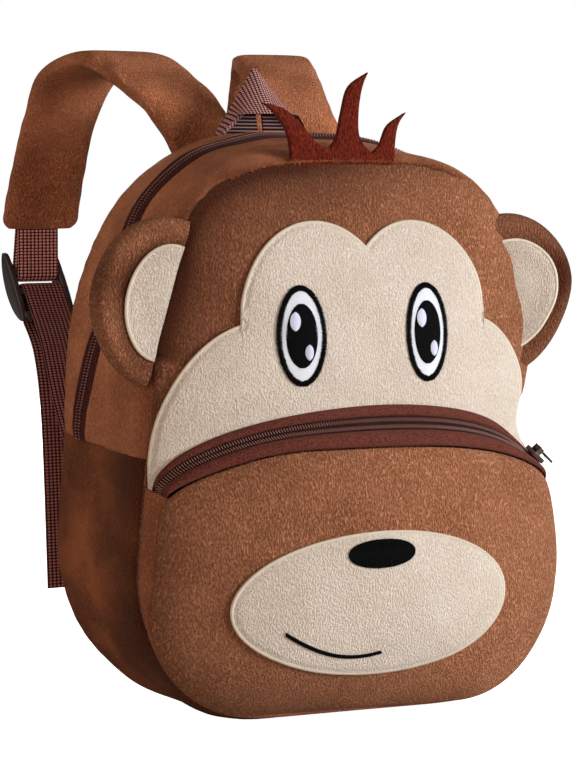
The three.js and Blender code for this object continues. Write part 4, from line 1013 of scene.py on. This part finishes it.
# The muzzle: an oval of the cream plush, sewn on the pocket with the same satin border.
# Its nose and its smile are black embroidery, the nose in upright threads and the smile in a satin row.
# Ovals are middle x and z, half width and half height.
MUZZLE = (-6, 57.5, 71.5, 33.5)
NOSE = (-6.8, 81, 17.3, 6.5)
NOSE_SQUARE = 2.15
NOSE_PLATE = dict(under=-0.5, over=0.2)
MOUTH = dict(left=-53, right=-4, left_z=46.5, right_z=35.5, sag=5.5, width=2.2)
muzzle_line = even_line(oval(*MUZZLE, 300), closed=True)
share = np.sin(np.linspace(0, math.pi / 2, 36))[:, None]
ring = oval(0, 0, MUZZLE[2], MUZZLE[3], 160)
muzzle_x = MUZZLE[0] + ring[:, 0] * share
muzzle_z = MUZZLE[1] + ring[:, 1] * share
cream_patch("muzzle_patch", pocket, muzzle_x, muzzle_z, muzzle_line, hoop=True)
edged("muzzle_patch", pocket, muzzle_line, closed=True)

nose_under = THREAD_LIFT + NOSE_PLATE["under"]
nose_over = THREAD_LIFT + NOSE_PLATE["over"]
sewn(oval_plate("nose", pocket, *NOSE, nose_under, nose_over, black_thread, NOSE_SQUARE),
     "black_thread", "nose")
sewn(filled("nose_threads", pocket, *NOSE, nose_over, black_thread, upright=True, unevenness=0.25,
            square=NOSE_SQUARE), "black_thread")

smile = np.linspace(0, 1, 120)
smile_x = mix(MOUTH["left"], MOUTH["right"], smile)
smile_z = mix(MOUTH["left_z"], MOUTH["right_z"], smile) - MOUTH["sag"] * (1 - (2 * smile - 1) ** 2)
sewn(stitch_row(
    "mouth", *standing(pocket.point, smile_x, smile_z, THREAD_LIFT), black_thread,
    pitch=0.45, length=MOUTH["width"], width=0.6, height=0.9, turn=0.5, unevenness=0.15,
), "black_thread", "mouth")

# The ears: half discs of brown plush, stuffed, with a rolled rim round a dished cream patch.
# The patch has the face's satin border, and the ear's straight root is sewn in the front seam.
EAR = dict(root_y=-39.5, root_z=194.5, half=38.5, root=2, power=2.2, low_power=1.8, patch_half=26.5)
# Side, sign, place of the root, its lean, the turn towards the back, reach, the patch's reach, painted shade
EARS = (("left", -1, 96, 17, 15, 33.5, 17.5, 0.25), ("right", 1, 87, 12.4, 2, 37, 26, 0.52))
FOLD_SHADE = dict(most=0.65, at=1.05, width=0.16, rim=0.42, rim_up=2, rim_spread=14)
# From the middle of the root to the edge: share, and the swell in front and behind
EAR_SWELL = ((0, 0.5, 4.5), (0.5, 1, 5.5), (0.68, 3.4, 6), (0.83, 5.2, 5.8), (0.93, 4.8, 5.2), (1, 3.8, 4.4))


def eased(table, column, share):
    """A smooth curve through one column of a table, along its first column."""
    at = np.array([row[0] for row in table])
    values = np.array([row[column] for row in table])
    slopes = np.gradient(values, at)
    i = (np.searchsorted(at, share, side="right") - 1).clip(0, len(at) - 2)
    gap = at[i + 1] - at[i]
    t = ((share - at[i]) / gap).clip(0, 1)
    start = (1 + 2 * t) * (1 - t) ** 2 * values[i] + t * (1 - t) ** 2 * gap * slopes[i]
    return start + t ** 2 * (3 - 2 * t) * values[i + 1] + t ** 2 * (t - 1) * gap * slopes[i + 1]


class EarFace:
    """The front and the rear of an ear, over its own outward and upward directions."""

    def __init__(self, sign, root_x, lean, back, reach):
        lean = math.radians(lean)
        turn = math.radians(back)
        self.reach = reach
        self.root = np.array([sign * root_x, EAR["root_y"], EAR["root_z"]])
        self.along = np.array([-sign * math.sin(lean), 0, math.cos(lean)])
        self.out = np.array([
            sign * math.cos(lean) * math.cos(turn), math.sin(turn), math.sin(lean) * math.cos(turn),
        ])
        self.face = np.cross(self.out, self.along) * sign

    def point(self, out, up, lift=0, rear=False):
        """A place on the front or the rear, lifted forward."""
        power = np.where(np.asarray(up) < 0, EAR["low_power"], EAR["power"])
        share = (np.maximum(out, 0) / self.reach) ** power + (np.abs(up) / EAR["half"]) ** power
        share = (share ** (1 / power)).clip(0, 1)
        swell = eased(EAR_SWELL, 2 if rear else 1, share) * np.sqrt(1 - share ** 14)
        soft = 0.35 * np.sin(out / 4.1 + up / 7) * np.sin(up / 5.3 + 0.4) * (1 - share ** 6)
        height = lift + soft - swell if rear else lift + soft + swell
        spot = self.root + np.multiply.outer(out, self.out) + np.multiply.outer(up, self.along)
        return spot + np.multiply.outer(height, self.face)


def ear_line(reach, half, count=80):
    """Half-disc outline over the ear's outward and upward directions, up its curved side."""
    angle = np.radians(np.linspace(-90, 90, count))
    power = np.where(angle < 0, EAR["low_power"], EAR["power"])
    return np.column_stack([
        reach * np.cos(angle).clip(0) ** (2 / power), half * power_of(np.sin(angle), 2 / power),
    ])


def from_root(edge, half, shares):
    """Places over the ear from the middle of its root to an edge, which is carried on to the root."""
    line = np.vstack([[[-EAR["root"], -half]], edge, [[-EAR["root"], half]]])
    return mix(-EAR["root"], line[:, 0], shares[:, None]), line[:, 1] * shares[:, None]


for side, sign, root_x, lean, back, reach, patch_reach, ear_shade in EARS:
    ear = EarFace(sign, root_x, lean, back, reach)
    out, up = from_root(ear_line(reach, EAR["half"]), EAR["half"], 1 - (1 - np.linspace(0, 1, 30)) ** 1.5)
    fold = ((np.maximum(out, 0) / patch_reach) ** 2 + (up / EAR["patch_half"]) ** 2) ** 0.5
    in_fold = hump((fold - FOLD_SHADE["at"]) / FOLD_SHADE["width"], 0.4 * np.sin(up / 7), 1)
    on_rim = hump(up, FOLD_SHADE["rim_up"], FOLD_SHADE["rim_spread"]) * (fold > 1)
    # Painted shade on the ear: an even share for each ear, deepest in the fold beside the patch and on the
    # rim about its middle height
    stuffed = sewn(cloth_wall(
        f"ear_{side}", ear.point(out, up), ear.point(out, up, rear=True), brown_plush,
        shade=mix(ear_shade, FOLD_SHADE["most"], in_fold) + FOLD_SHADE["rim"] * on_rim,
    ), "brown_plush", f"ear_{side}")

    edge = ear_line(patch_reach, EAR["patch_half"])
    out, up = from_root(edge, EAR["patch_half"], np.linspace(0, 1, 20))
    # Painted shade on the right ear's patch, deepest by its root, where the head shades it
    cream_patch(f"ear_patch_{side}", ear, out, up, edge, shade=1.6 * (ear_shade - 0.25) * hump(out, 0, 20))
    edged(f"ear_patch_{side}", ear, even_line(edge))

# The hair: one piece of stiff red-brown felt, cut in three curved spikes with soft edges.
# Its foot is caught in the front seam at the top of the head, and the spikes lean to and fro a little.
HAIR = dict(y=-40.2, thickness=2.6, edge=0.5, sway=2.2, sway_z=262, sway_over=30)
# Places {x, z} up each spike's left side, its tip, and down its right side
SPIKES = (
    dict(left=((-31, 251), (-31, 261), (-33, 271), (-39, 279)), tip=(-46.1, 284),
         right=((-34, 281.5), (-25, 274.5), (-18, 266.8), (-10.5, 263.8))),
    dict(left=((-6.8, 269), (-4.3, 280), (-0.8, 292)), tip=(8.8, 298.6),
         right=((5.8, 291.7), (4.3, 280), (5.5, 268.4), (12.2, 261.5))),
    dict(left=((16.4, 265.5), (20.6, 274.5)), tip=(31, 280.5),
         right=((26.6, 275), (24.8, 266), (24.6, 251))),
)


def through_rows(rows, between):
    """Rows between the given ones, each value on a smooth curve through them."""
    rows = np.asarray(rows, float)
    ends = np.concatenate([rows[:1], rows, rows[-1:]])
    out = []
    for a, b, c, d in zip(ends, ends[1:], ends[2:], ends[3:]):
        for t in np.linspace(0, 1, between, endpoint=False):
            out.append(b + 0.5 * t * (c - a + t * (2 * a - 5 * b + 4 * c - d + t * (3 * (b - c) + d - a))))
    return np.array(out + [rows[-1]])


def places_of(vertices):
    return np.array([vertex.co for vertex in vertices])


def flat_cut(name, outline, thickness, edge):
    """Points and faces of a shape cut from flat stuff, in millimetres in X and Y, its edges rounded."""
    curve = bpy.data.curves.new(name, "CURVE")
    curve.dimensions = "2D"
    curve.fill_mode = "BOTH"
    curve.extrude = thickness / 2 - edge
    curve.bevel_depth = edge
    curve.bevel_resolution = 2
    curve.offset = -edge
    spline = curve.splines.new("POLY")
    spline.points.add(len(outline) - 1)
    level = np.zeros(len(outline))
    spline.points.foreach_set("co", np.column_stack([outline, level, level + 1]).ravel())
    spline.use_cyclic_u = True
    mesh = plain_mesh(placed(name, curve))
    return places_of(mesh.vertices), [list(face.vertices) for face in mesh.polygons]


hair_outline = []
valley = ()
for spike in SPIKES:
    hair_outline.append(through_rows([*valley, *spike["left"], spike["tip"]], 5)[:-1])
    hair_outline.append(through_rows([spike["tip"], *spike["right"]], 5)[:-1])
    valley = spike["right"][-1:]
hair_outline.append(np.array(valley))
hair_points, hair_faces = flat_cut("hair_tuft", np.vstack(hair_outline), HAIR["thickness"], HAIR["edge"])
x, z, y = hair_points.T
height = ((z - HAIR["sway_z"]) / HAIR["sway_over"]).clip(0, 1)
sway = HAIR["sway"] * np.sin((x + 40) / 11) * height
hair_points = np.column_stack([x, HAIR["y"] - y + sway, z])

red_felt, felt_shader = principled("red felt", {
    "Roughness": 1.0, "Specular IOR Level": 0.05, "Sheen Weight": 0.1, "Sheen Tint": (0.7, 0.3, 0.22, 1),
})
felt_tree = red_felt.node_tree
fibres = nap_in(felt_tree, grain=0.0006, stretch=4, waviness=0.006)["Fleck"]
felt_tree.links.new(
    blended(felt_tree, fibres, (0.026, 0.0026, 0.0011, 1), (0.125, 0.0135, 0.0055, 1)),
    felt_shader.inputs["Base Color"])
raised(felt_tree, felt_shader, fibres, strength=0.6, distance=0.0005)
sewn(mesh_piece("hair_tuft", hair_points, hair_faces, red_felt), "red_felt", "hair_tuft")

# The grab handle: one length of woven webbing, folded over to a peak above the top of the bag.
# Its front layer shows as a band that bows forward, and its two legs behind are sewn in the back seam.
HANDLE = dict(
    half=28, foot_z=261, peak_z=304, shoulder_z=268, band_z=281, leg_y=42.5, bow=11, gap=0.06, lean=7.5,
    end=0.93, between=0.6, front_rest=2.4, back_rest=0.3,
)
WEBBING = 1.4


def webbing(name, dark, light, pitches, gap=0.2):
    """Woven webbing: floats with dark gaps between them, on the piece's own weave coordinates in metres."""
    material, shader = principled(name, {"Roughness": 0.8, "Specular IOR Level": 0.15})
    tree = material.node_tree
    weave = put(tree, "ShaderNodeSeparateXYZ", {0: put(tree, "ShaderNodeTexCoord").outputs["UV"]}).outputs
    height = None
    for axis, pitch in pitches:
        wave = reckoned(tree, "SINE", reckoned(tree, "MULTIPLY", weave[axis], math.pi / pitch))
        height = reckoned(tree, "MULTIPLY", reckoned(tree, "ABSOLUTE", wave), height or 1.0)
    floats = masked(tree, height, gap, min(gap + 0.45, 1))
    tree.links.new(blended(tree, floats, dark, light), shader.inputs["Base Color"])
    raised(tree, shader, height, strength=0.7, distance=0.0006)
    return material


strap_webbing = webbing(
    "strap webbing", (0.012, 0.003, 0.003, 1), (0.3, 0.105, 0.088, 1), (("X", 0.0021), ("Y", 0.0016)),
)
handle_webbing = webbing(
    "handle webbing", (0.008, 0.002, 0.002, 1), (0.5, 0.225, 0.2, 1), (("X", 0.0016), ("Y", 0.0013)),
)
# The handle's legs: a darker webbing, painted shade where they stand behind the band
shaded_leg_webbing = webbing(
    "shaded leg webbing", (0.006, 0.002, 0.002, 1), (0.2, 0.1, 0.09, 1), (("Y", 0.0017),), gap=0.72,
)
# The tabs: the strap webbing made lighter, a painted light where the tabs face the lamps
lit_tab_webbing = webbing(
    "lit tab webbing", (0.03, 0.008, 0.007, 1), (0.62, 0.25, 0.215, 1), (("X", 0.0021), ("Y", 0.0016)),
)


def seam_top(x):
    """Height of the back seam over a place near the top."""
    high = back_outline[back_outline[:, 1] > 200]
    order = np.argsort(high[:, 0])
    return np.interp(x, high[order, 0], high[order, 1])


def handle_peak(share):
    """Height of the fold, from its peak in the middle to its shoulders."""
    return mix(HANDLE["shoulder_z"], HANDLE["peak_z"], 1 - np.abs(share))


def handle_rows(share, inside):
    """Rows over the fold, from the band's lower edge in front to the legs behind."""
    peak = handle_peak(share)
    band = np.minimum(mix(HANDLE["shoulder_z"] - 3, HANDLE["band_z"], 1 - share ** 6), peak - 2)
    bow = HANDLE["bow"] * (1 - share ** 2)
    level = np.zeros_like(share)
    y = HANDLE["leg_y"]
    w = WEBBING
    front_y = y - w - HANDLE["between"]
    if inside:
        fold = np.maximum(peak - 2 * w, HANDLE["foot_z"] + 1)
        return [(front_y - bow, band - 0.3), (front_y - 0.4 * bow, mix(band, peak, 0.5) - 0.5),
                (front_y + level, fold), (y - w - 0.3 + level, fold + 0.2), (y - w + level, fold),
                (y - w + level, mix(fold, HANDLE["foot_z"], 0.4))]
    return [(front_y - w - bow, band), (front_y - w - 0.4 * bow, mix(band, peak, 0.5)),
            (y - 1.4 * w + level, peak - 0.3), (y - 0.7 * w + level, peak), (y + level, peak - w),
            (y + level, mix(peak - w, HANDLE["foot_z"], 0.4))]


def leant(y, z):
    """The handle leans back above its shoulders."""
    rise = np.maximum(z - HANDLE["shoulder_z"], 0) / (HANDLE["peak_z"] - HANDLE["shoulder_z"])
    return y + HANDLE["lean"] * rise


def handle_sheet(share, inside):
    """One side of the webbing, resting on the top of the bag."""
    rows = through_rows(np.array(handle_rows(share, inside)), 5)
    x = share * HANDLE["half"]
    rest = np.where(rows[:, 0] < SECTIONS["back"]["y"], HANDLE["front_rest"], HANDLE["back_rest"])
    z = np.maximum(rows[:, 1], seam_top(x) + rest)
    return np.stack([np.broadcast_to(x, z.shape), leant(rows[:, 0], z), z], -1)


band_share = np.linspace(-HANDLE["end"], HANDLE["end"], 70)
band = handle_sheet(band_share, inside=False)
sewn(cloth_wall(
    "grab_handle", band, handle_sheet(band_share, inside=True), handle_webbing,
    uvs=np.stack([band[..., 0], run_along(band)], -1) * MM,
), "webbing", "grab_handle")
for side, first, last in (("left", -HANDLE["end"], -HANDLE["gap"]), ("right", HANDLE["gap"], HANDLE["end"])):
    leg_share = np.linspace(first, last, 24)
    x = leg_share * HANDLE["half"]
    top = mix(handle_peak(leg_share) - WEBBING, HANDLE["foot_z"], 0.36)
    foot = seam_top(x) + HANDLE["back_rest"]
    z = mix(np.maximum(top, foot + 0.1), foot, np.linspace(0, 1, 12)[:, None])
    leg_x = np.broadcast_to(x, z.shape)
    sheet = np.stack([leg_x, leant(HANDLE["leg_y"], z), z], -1)
    sewn(cloth_wall(
        f"grab_handle_leg_{side}", sheet, sheet - [0, WEBBING, 0], shaded_leg_webbing,
        uvs=np.stack([leg_x, z], -1) * MM,
    ), "webbing")

# The shoulder straps: stuffed plush pads, sewn to the back panel below the handle, which arch up and over.
# A loop of webbing at each pad's lower end holds a ladder-lock buckle of dark plastic, and a lower strap
# comes up from the foot of the bag, goes round the buckle's middle bar and hangs down as a free end.

# Pad rows from the back panel to the lower end: x, y, z, lean above +Y in degrees, width, thickness
PAD_ROWS = (
    (-16, 42, 243, 0, 28, 10), (-17, 54, 246, 40, 31, 12), (-20, 60.5, 260, 72, 36, 12),
    (-27, 66, 280, 66, 42, 12), (-36, 80, 296, 38, 45, 12), (-46, 102, 308, 0, 46, 12),
    (-58, 124, 301, -42, 44, 12), (-62, 139, 280, -64, 41, 12), (-64.5, 147.5, 256, -80, 41, 12),
    (-67.5, 150, 235, -88, 42, 11), (-68.5, 150.2, 227.5, -90, 41, 9.5), (-69, 150.3, 224, -90, 34, 7),
)
STRAP_WIDTH = 22
RIGHT_DRIFT = dict(by=8, y=60, over=60)
RIGHT_FLARE = dict(by=22, out=0.3, z=262, spread=22, front_y=100)
BUCKLE = dict(
    x=-70.5, y=148, z=195, tilt=36, width=30.4, height=42, thick=3.2, bar=4, bar_lap=1.5, bar_edge=1,
    side=3.5, side_edge=0.9, sweep=8, belly=1.8, tip=0.4,
)
TAB_TUCK = 3
BARS = dict(top=8, middle=-3.5, bottom=-18)
BAR_GAP = 0.5
PAD_COLUMNS = 28
PAD_STEPS = 20
PAD_SLACK = 1.2
PAD_CAP = 4
# Lower strap and its free end: x, y, z, lean above +Y in degrees
STRAP_ROWS = (
    (-78, 43.2, 38, 90), (-78, 44, 50, 87), (-79, 52, 78, 70), (-80, 68, 110, 60),
    (-79, 90, 141, 52), (-74, 114, 167, 44), (-70.6, 133.8, 183, 44),
)
TAIL_ROWS = (
    (-70.3, 143.4, 176.5, -118), (-68.5, 134.5, 160, -103), (-67.5, 128.5, 125, -99), (-70.5, 116, 44, -98),
)


def drift(sign, y):
    """The right strap hangs nearer the middle, the further it is from the back."""
    return max(sign, 0) * RIGHT_DRIFT["by"] * np.clip((y - RIGHT_DRIFT["y"]) / RIGHT_DRIFT["over"], 0, 1)


def strap_point(rows, sign, across, through):
    """Places on a strap, beside and off its middle line."""
    lean = np.radians(rows[:, 3])[:, None]
    middle = (rows[:, 0] + drift(sign, rows[:, 1]))[:, None]
    return np.stack([
        -sign * (middle + across),
        rows[:, 1][:, None] - np.sin(lean) * through,
        rows[:, 2][:, None] + np.cos(lean) * through,
    ], -1)


def ring_faces(rows, columns):
    """Faces of a closed tube of rings, with one face over each end."""
    grid = np.arange(rows * columns).reshape(rows, columns)
    loop = np.column_stack([grid, grid[:, 0]])
    sides = np.stack([loop[:-1, :-1], loop[:-1, 1:], loop[1:, 1:], loop[1:, :-1]], -1)
    return sides.reshape(-1, 4).tolist() + [grid[0, ::-1].tolist(), grid[-1].tolist()]


def pad_rings(sign, slack):
    """Rings of a stuffed pad, from its end on the back panel to its lower end."""
    rows = through_rows(PAD_ROWS, 6)
    low = hump(np.maximum(rows[:, 2], RIGHT_FLARE["z"]), RIGHT_FLARE["z"], RIGHT_FLARE["spread"])
    flare = max(sign, 0) * RIGHT_FLARE["by"] * low * (rows[:, 1] < RIGHT_FLARE["front_y"])
    rows[:, 0] -= flare * RIGHT_FLARE["out"]
    rows[:, 4] += flare
    turn = np.linspace(0, 2 * math.pi, PAD_COLUMNS, endpoint=False) + math.pi / PAD_COLUMNS
    across = power_of(np.cos(turn), 0.38) * (rows[:, 4][:, None] / 2 - 0.3 * slack)
    through = power_of(np.sin(turn), 0.6) * (rows[:, 5][:, None] / 2 - slack)
    return strap_point(rows, sign, across, through)


def stuff(pad, cap):
    """Swells a pad by steps of cloth under pressure, its seams and ends held. No point moves past a cap."""
    row, ring = np.divmod(np.arange(len(pad.data.vertices)), PAD_COLUMNS)
    beside = np.isin(ring, [0, PAD_COLUMNS // 2 - 1, PAD_COLUMNS // 2, PAD_COLUMNS - 1])
    held = np.flatnonzero(beside | (row < 4) | (row > row[-1] - 4))
    pad.vertex_groups.new(name="seams").add(held.tolist(), 1.0, "REPLACE")
    cover = pad.modifiers.new("cover", "CLOTH")
    cover.settings.use_pressure = True
    cover.settings.uniform_pressure_force = 4
    cover.settings.effector_weights.gravity = 0
    cover.settings.vertex_group_mass = "seams"
    cover.settings.shrink_min = -0.015
    cover.point_cache.frame_end = PAD_STEPS
    for step in range(1, PAD_STEPS + 1):
        scene.frame_set(step)
    swollen = pad.evaluated_get(bpy.context.evaluated_depsgraph_get()).to_mesh()
    start = places_of(pad.data.vertices)
    moved = places_of(swollen.vertices) - start
    far = np.linalg.norm(moved, axis=1)[:, None].clip(1e-9)
    moved *= np.minimum(1, cap * MM / far)
    pad.data.vertices.foreach_set("co", (start + moved).ravel())
    pad.modifiers.remove(cover)
    pad.vertex_groups.clear()
    scene.frame_set(1)


def web_strip(name, rows, sign, material):
    """Flat webbing along rows, thinner at its two selvedges, with weave coordinates."""
    rows = np.asarray(rows)
    half = STRAP_WIDTH / 2
    across = np.concatenate([np.linspace(-half, half, 9), np.linspace(half, -half, 9)])
    through = np.concatenate([np.full(9, -0.5), np.full(9, 0.5)]) * WEBBING
    selvedges = [0, 8, 9, 17]
    through[selvedges] *= 0.6
    spots = strap_point(rows, sign, across, through)
    middle = np.column_stack([-sign * rows[:, 0], rows[:, 1], rows[:, 2]])
    uvs = np.stack(np.broadcast_arrays(across, run_along(middle)[:, None]), -1)
    return mesh_piece(name, spots.reshape(-1, 3), ring_faces(*spots.shape[:2]), material,
                      uvs.reshape(-1, 2) * MM)


def round_bar(bar, first, last):
    """Rows of webbing part of the way round one of the buckle's bars."""
    tilt = math.radians(BUCKLE["tilt"])
    radius = math.hypot(BUCKLE["bar"], BUCKLE["thick"]) / 2 + BAR_GAP + WEBBING / 2
    angle = np.linspace(first, last, 24)
    return np.column_stack([
        np.full(24, BUCKLE["x"]),
        BUCKLE["y"] + bar * math.sin(tilt) + radius * np.cos(np.radians(angle)),
        BUCKLE["z"] + bar * math.cos(tilt) + radius * np.sin(np.radians(angle)),
        angle + (90 if last > first else -90),
    ])


dark_plastic = principled("dark plastic", {
    "Base Color": (0.028, 0.018, 0.018, 1), "Roughness": 0.42, "Coat Weight": 0.1,
})[0]


def ladder_lock(name):
    """A buckle of three bars between two crescent sides, over its own width, height and depth."""
    half_h = BUCKLE["height"] / 2
    inner = BUCKLE["width"] / 2 - BUCKLE["side"]
    bar = BUCKLE["bar"] / 2
    square = np.array([[-1, -1], [1, -1], [1, 1], [-1, 1]])
    cuts = []
    for z in BARS.values():
        bar_line = square * [inner + BUCKLE["bar_lap"], bar] + [0, z]
        cuts.append(flat_cut(name, bar_line, BUCKLE["thick"], BUCKLE["bar_edge"]))
    rise = np.linspace(-1, 1, 30)
    bow = (1 - rise ** 2) ** 0.7
    behind = np.column_stack([half_h * rise, -BUCKLE["tip"] - BUCKLE["sweep"] * bow])
    before = np.column_stack([half_h * rise, BUCKLE["tip"] + BUCKLE["belly"] * bow])
    side_line = np.vstack([behind, before[-2:0:-1]])
    for way in (-1, 1):
        cut, cut_faces = flat_cut(name, side_line, BUCKLE["side"], BUCKLE["side_edge"])
        cuts.append((cut[:, [2, 0, 1]] + [way * (inner + BUCKLE["side"] / 2), 0, 0], cut_faces))
    starts = np.cumsum([0] + [len(cut) for cut, cut_faces in cuts]).tolist()
    faces = [[i + start for i in face] for start, (cut, cut_faces) in zip(starts, cuts) for face in cut_faces]
    return np.vstack([cut for cut, cut_faces in cuts]), faces


for side, sign in (("left", -1), ("right", 1)):
    rings = pad_rings(sign, PAD_SLACK)
    x, y, z = np.moveaxis(rings, -1, 0)
    # Painted shade over the pad: an even darkening, with broad darker patches
    pad_shade = 0.14 + 0.16 * np.sin(z / 9 + y / 13) * np.sin(y / 8 - z / 17 + x / 12)
    pad = mesh_piece(f"shoulder_pad_{side}", rings.reshape(-1, 3), ring_faces(*rings.shape[:2]), brown_velvet,
                     shade=pad_shade.clip(0).ravel())
    stuff(pad, PAD_CAP)
    smooth = pad.modifiers.new("smooth", "SUBSURF")
    smooth.levels = 1
    smooth.render_levels = 1
    sewn(pad, "brown_plush", f"shoulder_pad_{side}")

    points, faces = ladder_lock(f"buckle_{side}")
    tilt = math.radians(BUCKLE["tilt"])
    points = np.column_stack([
        points[:, 0] - sign * (BUCKLE["x"] + drift(sign, BUCKLE["y"])),
        BUCKLE["y"] + points[:, 1] * math.sin(tilt) - points[:, 2] * math.cos(tilt),
        BUCKLE["z"] + points[:, 1] * math.cos(tilt) + points[:, 2] * math.sin(tilt),
    ])
    sewn(mesh_piece(f"buckle_{side}", points, faces, dark_plastic), "dark_plastic", f"buckle_{side}")

    end_y, end_z = PAD_ROWS[-1][1:3]
    tab = np.vstack([
        [[BUCKLE["x"], end_y - WEBBING, end_z + TAB_TUCK, -90]],
        round_bar(BARS["top"], 180, 360),
        [[BUCKLE["x"], end_y + WEBBING, end_z + TAB_TUCK, 90]],
    ])
    sewn(web_strip(f"strap_tab_{side}", tab, sign, lit_tab_webbing), "webbing", f"strap_tab_{side}")
    strap = np.vstack([
        through_rows(STRAP_ROWS, 8), round_bar(BARS["middle"], 140, -24), through_rows(TAIL_ROWS, 12),
    ])
    sewn(web_strip(f"strap_webbing_{side}", strap, sign, strap_webbing), "webbing", f"strap_webbing_{side}")

# The zip sliders and the pocket's pull: small castings of dark metal with their edges broken.
# Each is the CAD solid made smooth. The pull swings on its pin between the lugs of the pocket's slider.
dark_metal = principled("dark metal", {
    "Base Color": (0.07, 0.045, 0.038, 1), "Metallic": 0.8, "Roughness": 0.45,
})[0]
SLIDER_FOOT = dict(share=0.44, height=0.3, sink=1.5)
BROKEN_EDGE = 0.25


def lower_foot(casting):
    """Lengthens the pocket's slider downwards, so that it sits on the tape."""
    places = places_of(casting.verts) / MM
    band = settled(zip_band(fine_angles, SLIDER_FOOT["share"], 0))
    near = np.argmin(np.linalg.norm(band - places.mean(0), axis=1))
    up = unit(settled(zip_band(fine_angles, SLIDER_FOOT["share"], 1))[near] - band[near])
    heights = places @ up
    for vertex, height in zip(casting.verts, heights):
        if height < heights.min() + SLIDER_FOOT["height"]:
            vertex.co -= Vector(up * SLIDER_FOOT["sink"] * MM)


for node, body in (
    ("main_zip_slider", "bag"), ("pocket_zip_slider", "bag"), ("pocket_zip_pull", "pocket_pull"),
):
    casting = bmesh.new()
    casting.from_mesh(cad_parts[node].data)
    if node == "pocket_zip_slider":
        lower_foot(casting)
    bmesh.ops.remove_doubles(casting, verts=casting.verts, dist=1e-6)
    bmesh.ops.dissolve_limit(casting, angle_limit=math.radians(2), verts=casting.verts, edges=casting.edges)
    sharp = [edge for edge in casting.edges if edge.calc_face_angle(0) > math.radians(40)]
    bmesh.ops.bevel(casting, geom=sharp, offset=BROKEN_EDGE * MM, segments=2, affect="EDGES", profile=0.5)
    for face in casting.faces:
        face.smooth = True
    mesh = bpy.data.meshes.new(f"{node}_cast")
    casting.to_mesh(mesh)
    casting.free()
    mesh.materials.append(dark_metal)
    cast = placed(f"{node}_cast", mesh)
    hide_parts(node)
    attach(cast, body)

size = {"cad": [list(cad_low), list(cad_high)], "visual": [list(corner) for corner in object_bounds()]}
